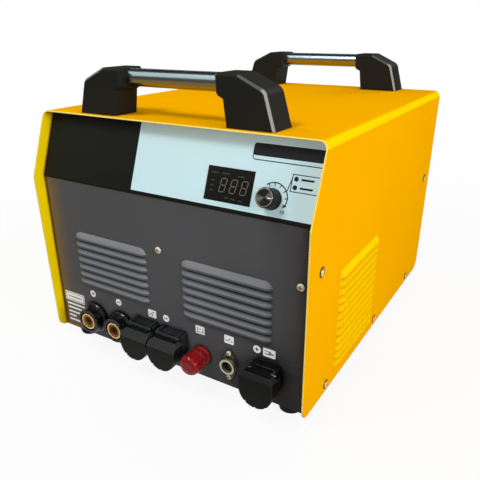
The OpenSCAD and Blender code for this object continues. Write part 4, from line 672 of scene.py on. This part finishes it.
dress(finish("black phenolic", srgb(14, 15, 16), 0.82, tone=0.8, grain_scale=1200,
             grain_mm=0.01, edge_mm=0.5, edge_highlight=srgb(84, 90, 96), edge_share=0.7,
             full_bend=0.12, specular=0.3),
      "mma_shell_positive", "mma_shell_negative", "work_housing", "trigger_insert")
dress(finish("satin black housing", srgb(38, 40, 43), 0.6, tone=0.8, grain_scale=1200,
             edge_mm=0.5, edge_highlight=srgb(96, 100, 104), edge_share=0.7, full_bend=0.12,
             specular=0.2, crevice_shade=(SLIT_SHADE_BLACK, 2.5, 0.9)),
      "torch_housing_inner", "torch_housing_external")
dress(finish("grained black lid", srgb(21, 22, 20), 0.56, grain_mm=0.05,
             edge_highlight=srgb(100, 104, 104), painted_top_light=(srgb(48, 50, 49), 0.8), **BLACK_LID),
      "torch_lid_inner", "torch_lid_external")
dress(finish("plain black lid", srgb(11, 12, 10), 0.6, grain_mm=0.04,
             edge_highlight=srgb(84, 86, 84), painted_top_light=(srgb(34, 36, 36), 0.8), **BLACK_LID),
      "work_lid")
dress(finish("satin black handle", srgb(30, 30, 26), 0.5, grain_scale=1600, edge_mm=1.4,
             edge_highlight=srgb(58, 59, 55), edge_share=0.6, specular=0.1,
             light_and_shade_bands=[((0.64, -0.6, 0.48), (0.905, 0.955), srgb(160, 160, 156), 0.9,
                     (WIDTH, 0.0, 0.02))]),
      "handle_front_left", "handle_front_right", "handle_rear_left", "handle_rear_right")
dress(finish("deep red moulding", srgb(138, 14, 20), 0.76, tone=0.75, grain_mm=0.01,
             edge_highlight=srgb(206, 70, 76), specular=0.22, coat=0.05,
             crevice_shade=(srgb(54, 3, 8), 3.0, 0.8)), "post_base", "post_nut")
dress(finish("black rubber", srgb(22, 22, 22), 0.2, tone=0.8, grain_scale=1500,
             grain_mm=0.05, edge_mm=0.5, dust_share=0.1),
      "rubber_feet", "compressor_mounts", "air_hoses")
dress(finish("black fan plastic", srgb(27, 27, 28), 0.5, tone=0.85, grain_scale=1300,
             edge_mm=0.3, edge_highlight=srgb(70, 70, 72), dust_share=0.1),
      "fan_frame", "fan_rotor", "compressor_fans", "cable_gland", "breaker_lever",
      "display_module")
dress(finish("pale breaker plastic", srgb(214, 214, 206), 0.5, tone=0.95,
             grain_scale=1300, grain_mm=0.015), "breaker_body")

# %% The knob, turned and with a painted bow-tie highlight
KNOB_X, KNOB_UP, KNOB_TOP = 134.0, 18.0, 17.1

knob_seat, knob_face = (tuple(FACE @ Vector((KNOB_X, KNOB_UP, out)))
                        for out in (0.0, KNOB_TOP))
dress(finish("black knob", srgb(14, 14, 14), 0.6, tone=0.8, grain_scale=1400,
             grain_mm=0.03, edge_mm=0.5, edge_highlight=srgb(88, 86, 82), edge_share=0.6,
             crevice_shade=(SLIT_SHADE_BLACK, 1.5, 0.8),
             turned=(knob_seat, face_way(0, 0, 1), 2200.0, 2.5),
             streaks=(knob_face, face_way(0, 0, 1), face_way(0.94, 0.34),
                      srgb(120, 118, 114))), "current_knob")

# %% [markdown]
# ## Metals
# Chrome is nearly all reflection, and a pale painted reflection lies on its faces that lean up.
# Brass fittings have a warm, slightly dull skin, with painted highlights on their edges and
# front faces and painted shade in their bores. Small fittings are zinc plated, the trigger
# socket nickel with painted shade on its flange. Throughout, edges carry painted highlights,
# and slits and recesses painted shade.

# %% Metal finishes
FLANGE_Y = PANEL_Y * MM - 0.002

dress(finish("polished chrome", srgb(166, 162, 156), 0.82, metal=1.0, tone=0.95,
             grain_scale=500, grain_mm=0.0006, edge_mm=0.2,
             painted_top_light=(srgb(166, 184, 189), 1.0)), "handle_tubes")
dress(finish("bright trim", srgb(206, 198, 190), 0.8, metal=1.0, tone=0.95,
             grain_mm=0.002, edge_mm=0.1), "knob_trim")
dress(finish("turned brass", srgb(196, 148, 78), 0.7, metal=0.7, tone=0.75,
             grain_scale=1500, grain_mm=0.008, edge_mm=0.5,
             edge_highlight=srgb(248, 222, 172), edge_share=0.9, full_bend=0.1,
             light_and_shade_bands=[(FORWARD, (0.6, 0.9), srgb(238, 206, 146), 0.8, None)],
             crevice_shade=(srgb(120, 76, 26), 3.0, 0.7)),
      "socket_contacts", "torch_stubs", "post_stud", "post_washer", "air_inlet",
      "solenoid_valve")
dress(finish("zinc plated steel", srgb(188, 190, 192), 0.66, metal=1.0, tone=0.85,
             grain_mm=0.006, edge_mm=0.25, edge_highlight=srgb(230, 230, 230)),
      "current_pot", "pot_shaft", "lid_pins", "terminal_nuts", "earth_stud",
      "fan_guard", "handle_screws")
dress(finish("dull zinc screws", srgb(226, 216, 188), 0.64, metal=0.4, tone=0.75,
             grain_mm=0.006, edge_mm=0.3, edge_highlight=srgb(238, 232, 212),
             edge_share=0.7, crevice_shade=(srgb(20, 18, 14), 1.5, 0.9)), "panel_screws")
dress(finish("yellow passivated zinc", srgb(236, 206, 130), 0.7, metal=0.75, tone=0.85,
             grain_mm=0.006, edge_mm=0.25, edge_highlight=srgb(255, 240, 200),
             crevice_shade=(srgb(70, 52, 20), 2.0, 0.9)), "cover_screws")
dress(finish("nickel plate", srgb(206, 200, 176), 0.76, metal=0.75, tone=0.8,
             grain_mm=0.004, edge_mm=0.25, edge_highlight=srgb(245, 240, 222),
             ridges=(DEPTH, 900.0, 2.0),
             light_and_shade_bands=[(FORWARD, (0.5, 0.8), srgb(50, 47, 40), 0.9,
                     (DEPTH, FLANGE_Y - 0.002, FLANGE_Y - 0.001))],
             crevice_shade=(srgb(24, 22, 18), 5.0, 0.95)), "trigger_shell")
dress(finish("cast aluminium", srgb(196, 198, 200), 0.5, metal=1.0, tone=0.88,
             grain_scale=700, grain_mm=0.05, edge_mm=0.5), "compressor_heads",
      "heat_sink")
dress(finish("painted casting", srgb(60, 63, 66), 0.45, tone=0.85, grain_scale=500,
             grain_mm=0.08, edge_mm=0.6, edge_highlight=srgb(110, 112, 114)),
      "compressor_motor")
dress(finish("core laminations", srgb(92, 92, 96), 0.5, metal=0.8, tone=0.85,
             grain_scale=600, edge_mm=0.2, ridges=(DEPTH, 1400.0, 2.0)),
      "transformer_core")
dress(finish("enamelled copper", srgb(178, 96, 48), 0.66, metal=0.7, tone=0.85,
             grain_scale=600, grain_mm=0.3, edge_mm=0.3,
             ridges=((0, 0, 1), 420.0, 3.0)), "transformer_winding", "output_choke")
dress(finish("green circuit board", srgb(20, 84, 50), 0.6, tone=0.85, grain_scale=500,
             edge_mm=0.2, lines=((1.0, 8.0, 1.0), 90.0)), "control_board", "power_board")

undressed = [n for n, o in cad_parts.items() if not o.data.materials
             or not o.data.materials[0].use_nodes]
print("still undressed:", undressed)

# %% [markdown]
# ## Printing tools
# A printed mark is a thin closed prism on its surface, a tenth of a millimetre thick,
# which keeps it sharp from any distance and lets it export as real geometry. Three
# helpers cover every mark: a filled outline, a ring between two outlines, and a ribbon
# that follows a line at even width.


# %% Outlines, rings and ribbons
def circle_points(x, y, r, n=40, start=0.0, end=360.0):
    """Points on an arc; a full turn leaves the last point out."""
    full = abs(end - start) >= 360.0
    steps = n if full else n - 1
    angles = [math.radians(start + (end - start) * i / steps) for i in range(n)]
    return [(x + r * math.cos(a), y + r * math.sin(a)) for a in angles]


def ring(x, y, outer, inner, n, *turn):
    """Outer and inner outline of a ring, round a full turn or between two angles."""
    return tuple(circle_points(x, y, r, n, *turn) for r in (outer, inner))


def bar(x, y, w, h):
    """Rectangle centred on x, y."""
    return [(x + i * w / 2, y + j * h / 2) for i, j in ((-1, -1), (1, -1), (1, 1), (-1, 1))]


def rounded_box(x, y, w, h, r, n=6):
    """Rectangle centred on x, y with corners of radius r."""
    points = []
    for cx, cy, a in ((1, 1, 0), (-1, 1, 90), (-1, -1, 180), (1, -1, 270)):
        points += circle_points(x + cx * (w / 2 - r), y + cy * (h / 2 - r), r, n,
                                a, a + 90)
    return points


def ribbon(points, width):
    """Outline of a line of even width, with mitred corners and square ends."""
    pts = [Vector(p) for p in points]
    left, right_side = [], []
    for i, p in enumerate(pts):
        before = (p - pts[i - 1]).normalized() if i else (pts[1] - p).normalized()
        after = (pts[i + 1] - p).normalized() if i < len(pts) - 1 else before
        side = Vector((-(before + after).y, (before + after).x)).normalized()
        reach = width / 2 / max(0.4, side.dot(Vector((-before.y, before.x))))
        left.append(p + side * reach)
        right_side.append(p - side * reach)
    return [tuple(p) for p in left + right_side[::-1]]


# %% Marks: meshes on a plane, each with its ink, slot and body
INK_T = 0.12
PAINT_LIFT = 0.02
FILM_TOP = FILM_T + PAINT_LIFT


def prism(bm, outline, low, high):
    """Closed prism over an outline in the bmesh."""
    bottom = [bm.verts.new((x, y, low)) for x, y in outline]
    top = [bm.verts.new((x, y, high)) for x, y in outline]
    bm.faces.new(bottom[::-1])
    bm.faces.new(top)
    for i in range(len(outline)):
        j = (i + 1) % len(outline)
        bm.faces.new((bottom[i], bottom[j], top[j], top[i]))


def ring_prism(bm, outer, inner, low, high):
    """Closed prism between two outlines with the same number of points."""
    rows = [[bm.verts.new((x, y, z)) for x, y in line]
            for line, z in ((outer, low), (outer, high), (inner, high), (inner, low))]
    n = len(outer)
    for k in range(4):
        a, b = rows[k], rows[(k + 1) % 4]
        for i in range(n):
            j = (i + 1) % n
            bm.faces.new((a[i], a[j], b[j], b[i]))


def settle(name, mesh, place, material, body):
    """Lays a flat mesh on its plane and makes it a piece that rides on a body."""
    mesh.transform(place)
    mesh.materials.clear()
    mesh.materials.append(material)
    obj = bpy.data.objects.new(name, mesh)
    bpy.context.collection.objects.link(obj)
    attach(obj, body)
    print("printed", name, "with", len(mesh.polygons), "faces")


def mark(name, place, material, body, lift, outlines=(), rings=(), thick=INK_T):
    """One printed piece on a plane: filled outlines and rings, lift above the plane."""
    bm = bmesh.new()
    for outline in outlines:
        prism(bm, outline, lift, lift + thick)
    for outer, inner in rings:
        ring_prism(bm, outer, inner, lift, lift + thick)
    bmesh.ops.recalc_face_normals(bm, faces=bm.faces)
    mesh = bpy.data.meshes.new(name)
    bm.to_mesh(mesh)
    bm.free()
    settle(name, mesh, place, material, body)


def on_paint(name, ink, layer, outlines, rings=()):
    """Mark on the front panel, straight on the paint (layer 0) or on a mark (1)."""
    mark(name, FRONT, ink, "case", PAINT_LIFT + layer * INK_T, outlines,
         rings)


def on_film(name, *outlines):
    """Black mark on the pale film of the control face."""
    mark(name, FACE, black_ink, "case", FILM_TOP, outlines)


# %% [markdown]
# ## Inks
# White and black screen-print ink: flat, with the faint mottling of a print. The digits of
# the display are the one thing that glows.

# %% Inks and the display's glow
INK = dict(grain_scale=2500, grain_mm=0.004, edge_mm=0.05)
LIT = dict(gloss=0.5, grain_scale=2500, grain_mm=0.002, edge_mm=0.05)

white_ink = finish("white ink", srgb(252, 252, 250), 0.45, tone=0.94, specular=0.08, **INK)
black_ink = finish("black ink", srgb(28, 30, 32), 0.5, **INK)
digit_glow = finish("dim digits", srgb(104, 99, 86), **LIT)
glow_shader = digit_glow.node_tree.nodes["Principled BSDF"]
glow_shader.inputs["Emission Color"].default_value = (*srgb(112, 105, 92), 1)
glow_shader.inputs["Emission Strength"].default_value = 0.15
faint_glow = finish("faint signs", srgb(66, 64, 54), **LIT)

# %% [markdown]
# ## Marks beside the terminals
# Each welding terminal has its polarity on a white disc, and the auxiliary ones a small
# white plate with a line drawing of what plugs in. Drawings explain themselves in any
# language, which is why machines like this use them.

# %% Polarity discs
LABEL_H = 62.5
DISC_R = 4.7
SIGN_REACH, SIGN_HALF = 2.3, 0.55
POLARITY = {"positive_mma": (-123, True), "negative_mma": (-78, False),
            "negative_torch": (-1.6, False), "positive_work": (123, True)}


def plus_sign(x, y):
    """Outline of a plus: the lower arm's points at four quarter turns."""
    arm = [(-SIGN_HALF, -SIGN_REACH), (SIGN_HALF, -SIGN_REACH), (SIGN_HALF, -SIGN_HALF)]
    return [(x + u * c - v * s, y + u * s + v * c)
            for c, s in ((1, 0), (0, 1), (-1, 0), (0, -1)) for u, v in arm]


for name, (x, plus) in POLARITY.items():
    on_paint("disc_" + name, white_ink, 0, [circle_points(x, LABEL_H, DISC_R)])
    sign = plus_sign(x, LABEL_H) if plus else bar(x, LABEL_H, 2 * SIGN_REACH, 2 * SIGN_HALF)
    on_paint("sign_" + name, black_ink, 1, [sign])

# %% Plates with line drawings
PLATE_H, PLATE_CORNER = 10.5, 1.2
STROKE, RING_STROKE = 0.75, 0.7


def plate(name, x, w, strokes, rings=(), dots=()):
    """White plate on the front panel with a black line drawing, in plate coordinates."""
    on_paint("plate_" + name, white_ink, 0, [rounded_box(x, LABEL_H, w, PLATE_H, PLATE_CORNER)])
    drawn = [ribbon([(x + u, LABEL_H + v) for u, v in line], STROKE) for line in strokes]
    drawn += [circle_points(x + u, LABEL_H + v, r, 20) for u, v, r in dots]
    on_paint("drawing_" + name, black_ink, 1, drawn,
             [ring(x + u, LABEL_H + v, r, r - RING_STROKE, 28) for u, v, r in rings])


plate("torch", -23, 12.5, [[(-4, -2.6), (-1.2, 0.4), (3.2, 2.8)], [(-0.4, -3.2), (1.4, -0.4)]],
      dots=[(-0.4, -3.4, 0.5)])
plate("pilot_arc", 48, 12.5, [[(-4, 3), (-4, -3), (-0.8, -3)], [(4, 3), (4, -3), (0.8, -3)]],
      dots=[(0, 1.2, 0.7)])
plate("trigger", 87.4, 12.5, [[(-4.6, -1.6), (-1.4, -1.6), (1.6, 1.4)],
                              [(2.2, -1.6), (4.6, -1.6)]])
plate("work_clamp", 138, 15, [[(-5.6, 1.8), (0.4, 1.8), (5.4, -1.2)],
                              [(-5.6, -1.8), (0.4, -1.8), (5.4, -0.2)]],
      rings=[(0.4, 0, 1.3)])

# %% [markdown]
# ## The blank sticker
# A sticker sits low on the left of the panel: a white field in a thin frame, over rows of
# plain white bars. It carries no words, so that an owner could write on it.

# %% Sticker with a framed field and plain rows
STICKER_X, STICKER_W = -159.5, 36.0
FIELD_MID, FIELD_H = 47.0, 14.0
ROWS = [(35.5, 32.0), (29.5, 26.0), (23.0, 30.0), (17.0, 14.0), (10.5, 24.0)]
ROW_H, ROW_R = 3.0, 0.5
ROWS_X = STICKER_X - STICKER_W / 2 + 2
STICKER_R, FRAME_R = 1.5, 1.2
LINE_L, LINE_H, LINE_R = STICKER_W - 12, 1.0, 0.4

on_paint("sticker", white_ink, 0,
         [rounded_box(STICKER_X, FIELD_MID, STICKER_W, FIELD_H, STICKER_R)]
         + [rounded_box(ROWS_X + w / 2, y, w, ROW_H, ROW_R) for y, w in ROWS])
thin_frame = tuple(rounded_box(STICKER_X, FIELD_MID, STICKER_W - d, FIELD_H - d, FRAME_R)
                   for d in (3.0, 4.0))
on_paint("sticker_frame", black_ink, 1,
         [rounded_box(STICKER_X, FIELD_MID, LINE_L, LINE_H, LINE_R)], [thin_frame])

# %% [markdown]
# ## The control face
# Around the knob runs a dial: an arc with an arrowhead, ticks inside it and a plain
# number at its end. A dark banner with rounded corners frames the top right of the film,
# and a ruled box of two rows hangs on the dial by a leader line. The three dim digits of
# the display are laid on the smoked window, where they read as if they shone through it.

# %% Dial around the knob
DIAL = (135.0, 19.3)
DIAL_R = 14.7
ARC_FROM, ARC_TO = -24.0, 128.0
TICKS, TICK_L = (5, 35, 65, 92, 118), 3.2
ARC_W, LINE_W = 1.1, 0.8


def on_dial(angle, out):
    """Point at an angle on the dial, out from its arc."""
    a = math.radians(angle)
    return (DIAL[0] + (DIAL_R + out) * math.cos(a), DIAL[1] + (DIAL_R + out) * math.sin(a))


on_film("dial", ribbon(circle_points(*DIAL, DIAL_R, 48, ARC_FROM, ARC_TO), ARC_W),
        [on_dial(ARC_FROM - 11, -0.6), on_dial(ARC_FROM + 4, -2.4), on_dial(ARC_FROM + 4, 1.6)],
        *[ribbon([on_dial(a, -TICK_L), on_dial(a, 0)], LINE_W) for a in TICKS])

# %% Number at the end of the dial
NUMBER_MM = 4.8


def number(text, x, y):
    """Plain number printed on the control face, centred on x, y."""
    curve = bpy.data.curves.new("number_" + text, "FONT")
    curve.body = text
    curve.size = NUMBER_MM
    curve.align_x, curve.align_y = "CENTER", "CENTER"
    curve.extrude = INK_T / 2
    helper = bpy.data.objects.new("helper", curve)
    bpy.context.collection.objects.link(helper)
    bpy.context.view_layer.update()
    mesh = bpy.data.meshes.new_from_object(
        helper.evaluated_get(bpy.context.evaluated_depsgraph_get()))
    bpy.data.objects.remove(helper)
    settle("dial_number_" + text, mesh,
           FACE @ Matrix.Translation((x, y, FILM_TOP + INK_T / 2)), black_ink, "case")


number("10", 146.5, 7.4)

# %% Banner with the rule below it
FACE_RIGHT = 178.5
BANNER_X, BANNER_LOW, BANNER_HIGH, BANNER_R = 105.0, 57.0, 69.0, 3.0
RULE_UP, RULE_W = 53.0, 0.9


def quarter(x, y, start):
    """Quarter turn of the banner's corner radius, from an angle on."""
    return circle_points(x, y, BANNER_R, 6, start, start + 90)


banner_mid = BANNER_X + BANNER_R
on_film("banner", [(FACE_RIGHT, BANNER_LOW), (FACE_RIGHT, BANNER_HIGH)]
        + quarter(banner_mid, BANNER_HIGH - BANNER_R, 90)
        + quarter(banner_mid, BANNER_LOW + BANNER_R, 180))
on_film("banner_rule", ribbon([(BANNER_X + RULE_W / 2, BANNER_LOW + BANNER_R)]
                              + quarter(banner_mid + RULE_W / 2, RULE_UP + BANNER_R, 180)
                              + [(FACE_RIGHT, RULE_UP)], RULE_W))

# %% Ruled box beside the dial
BOX_X, BOX_LOW, BOX_HIGH = 151.0, 28.0, 44.0
DOT_IN, DOT_R = 4.0, 2.3
BAR_IN, BAR_W, BAR_H = 15.5, 13.0, 1.8

row_mids = [BOX_LOW + (BOX_HIGH - BOX_LOW) * share for share in (0.25, 0.75)]
on_film("dial_box",
        ribbon([(FACE_RIGHT - 1, BOX_LOW), (BOX_X, BOX_LOW), (BOX_X, BOX_HIGH),
                (FACE_RIGHT - 1, BOX_HIGH)], LINE_W),
        ribbon([on_dial(TICKS[1], -2.4), on_dial(TICKS[1], 1.2), (BOX_X, BOX_HIGH - 3.5)],
               LINE_W),
        *[circle_points(BOX_X + DOT_IN, y, DOT_R, 24) for y in row_mids],
        *[bar(BOX_X + BAR_IN, y, BAR_W, BAR_H) for y in row_mids])

# %% Digits and small signs of the display
DIGITS_AT = (90.0, 23.4)
WINDOW_TOP, SKIN_T = 0.92, 0.05
DIGIT_W, DIGIT_H, DIGIT_PITCH, SLANT = 6.4, 13.5, 12.2, 0.14
SEGMENT, SEGMENT_GAP = 0.95, 0.35
SIGN_H, SIGN_R = 1.3, 0.4
SIGNS = [(66, 35, 9), (79, 35, 9), (97, 34, 8), (65, 27, 4), (65, 22, 4), (65, 17, 4),
         (84, 11.5, 5), (92, 11, 5), (100, 10.5, 5)]


def segment(x0, y0, x1, y1):
    """One pointed bar of a seven-segment digit."""
    p, q = Vector((x0, y0)), Vector((x1, y1))
    along = (q - p).normalized()
    side = Vector((-along.y, along.x)) * SEGMENT / 2
    p, q = p + along * SEGMENT_GAP, q - along * SEGMENT_GAP
    tip = along * SEGMENT / 2
    return [tuple(v) for v in (p, p + tip - side, q - tip - side, q,
                               q - tip + side, p + tip + side)]


def digit(x, y):
    """The seven bars of one digit, which leans to the right."""
    w, h = DIGIT_W / 2, DIGIT_H / 2
    ends = [((-w, h), (w, h)), ((-w, 0), (w, 0)), ((-w, -h), (w, -h)),
            ((-w, 0), (-w, h)), ((w, 0), (w, h)), ((-w, -h), (-w, 0)), ((w, -h), (w, 0))]
    return [segment(x + a[0] + SLANT * a[1], y + a[1], x + b[0] + SLANT * b[1], y + b[1])
            for a, b in ends]


def on_window(name, material, outlines):
    """Thin lit skin on the display's window."""
    mark(name, FACE, material, "case", WINDOW_TOP, outlines,
         thick=SKIN_T)


on_window("digits", digit_glow,
          [s for i in (-1, 0, 1) for s in digit(DIGITS_AT[0] + i * DIGIT_PITCH, DIGITS_AT[1])])
on_window("display_signs", faint_glow,
          [rounded_box(x, y, w, SIGN_H, SIGN_R, 3) for x, y, w in SIGNS])

# %% [markdown]
# ## Chamfers of the cable sockets
# The brass of a cable socket is chamfered at its bore, and the chamfer shows darker than the
# face round it. A thin dark ring on each face stands for it as painted shade, and goes straight
# across the keyway at the top of the bore. The height of the two sockets and the depth of their
# faces are read from the model.

# %% Dark ring of painted shade round each open bore
BORE_R, CHAMFER_R = 6.6, 9.1
KEYWAY_HALF = 10
CHAMFER_LIFT, CHAMFER_T = 0.01, 0.08
MMA_X = {"positive": -120.0, "negative": -75.0}

shell_low, shell_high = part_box("mma_shell_positive")
socket_z = (shell_low[2] + shell_high[2]) / 2 / MM
face_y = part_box("socket_contacts")[0][1] / MM
chamfer_shade_bronze = finish("bore chamfer", srgb(146, 98, 38), 0.7, metal=0.5, tone=0.7,
                     grain_mm=0.004, edge_mm=0.2)
for name, x in MMA_X.items():
    mark("bore_chamfer_" + name,
         plane((x, face_y, socket_z), (1, 0, 0), (0, 0, 1), (0, -1, 0)), chamfer_shade_bronze,
         "case", CHAMFER_LIFT,
         rings=[ring(0, 0, CHAMFER_R, BORE_R, 40, 90 + KEYWAY_HALF, 450 - KEYWAY_HALF)],
         thick=CHAMFER_T)

# %% [markdown]
# ## Washers and the knob's pointer
# Each screw of the cover bites on a washer, painted dark so that it also stands for the shadow
# round the head, with a painted highlight on its edges; that dark ring is what makes the screws
# stand out on the yellow. Their places are read from the model: the screws' node holds one
# solid for each, so a walk over its joined faces finds every head. The knob's slot holds a
# white pointer.


# %% Washers round the cover's screw heads
def solid_middles(name):
    """Middle of the box round each separate solid of a node."""
    bm = bmesh.new()
    bm.from_mesh(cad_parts[name].data)
    bmesh.ops.remove_doubles(bm, verts=bm.verts, dist=1e-6)
    left, middles = set(bm.verts), []
    while left:
        group, fringe = set(), [left.pop()]
        while fringe:
            v = fringe.pop()
            group.add(v)
            near = {e.other_vert(v) for e in v.link_edges} & left
            left -= near
            fringe += near
        low, high = ([pick(v.co[i] for v in group) for i in range(3)] for pick in (min, max))
        middles.append(tuple((a + b) / 2 for a, b in zip(low, high)))
    bm.free()
    return middles


SIDE_X = 185.0
WASHER_R, HEAD_R, WASHER_T = 5.6, 4.25, 0.8

washer_zinc_and_shadow = finish("dark passivated zinc", srgb(112, 84, 30), 0.6, metal=0.8, tone=0.7,
                     grain_mm=0.006, edge_mm=0.2, edge_highlight=srgb(190, 156, 70))
for i, (x, y, z) in enumerate(sorted(solid_middles("cover_screws")), 1):
    side = 1 if x > 0 else -1
    mark("screw_washer_%d" % i,
         plane((side * SIDE_X, y / MM, z / MM), (0, side, 0), (0, 0, 1), (side, 0, 0)),
         washer_zinc_and_shadow, "case", 0.0,
         rings=[ring(0, 0, WASHER_R, HEAD_R, 32)], thick=WASHER_T)

# %% Pointer in the knob's slot
POINTER_MID, POINTER_L, POINTER_W, POINTER_T = 5.25, 4.3, 0.9, 0.45

mark("knob_pointer", FACE @ Matrix.Translation((KNOB_X, KNOB_UP, 0)), white_ink,
     "current_knob", KNOB_TOP - POINTER_T,
     [bar(POINTER_MID, 0, POINTER_L, POINTER_W)], thick=POINTER_T)
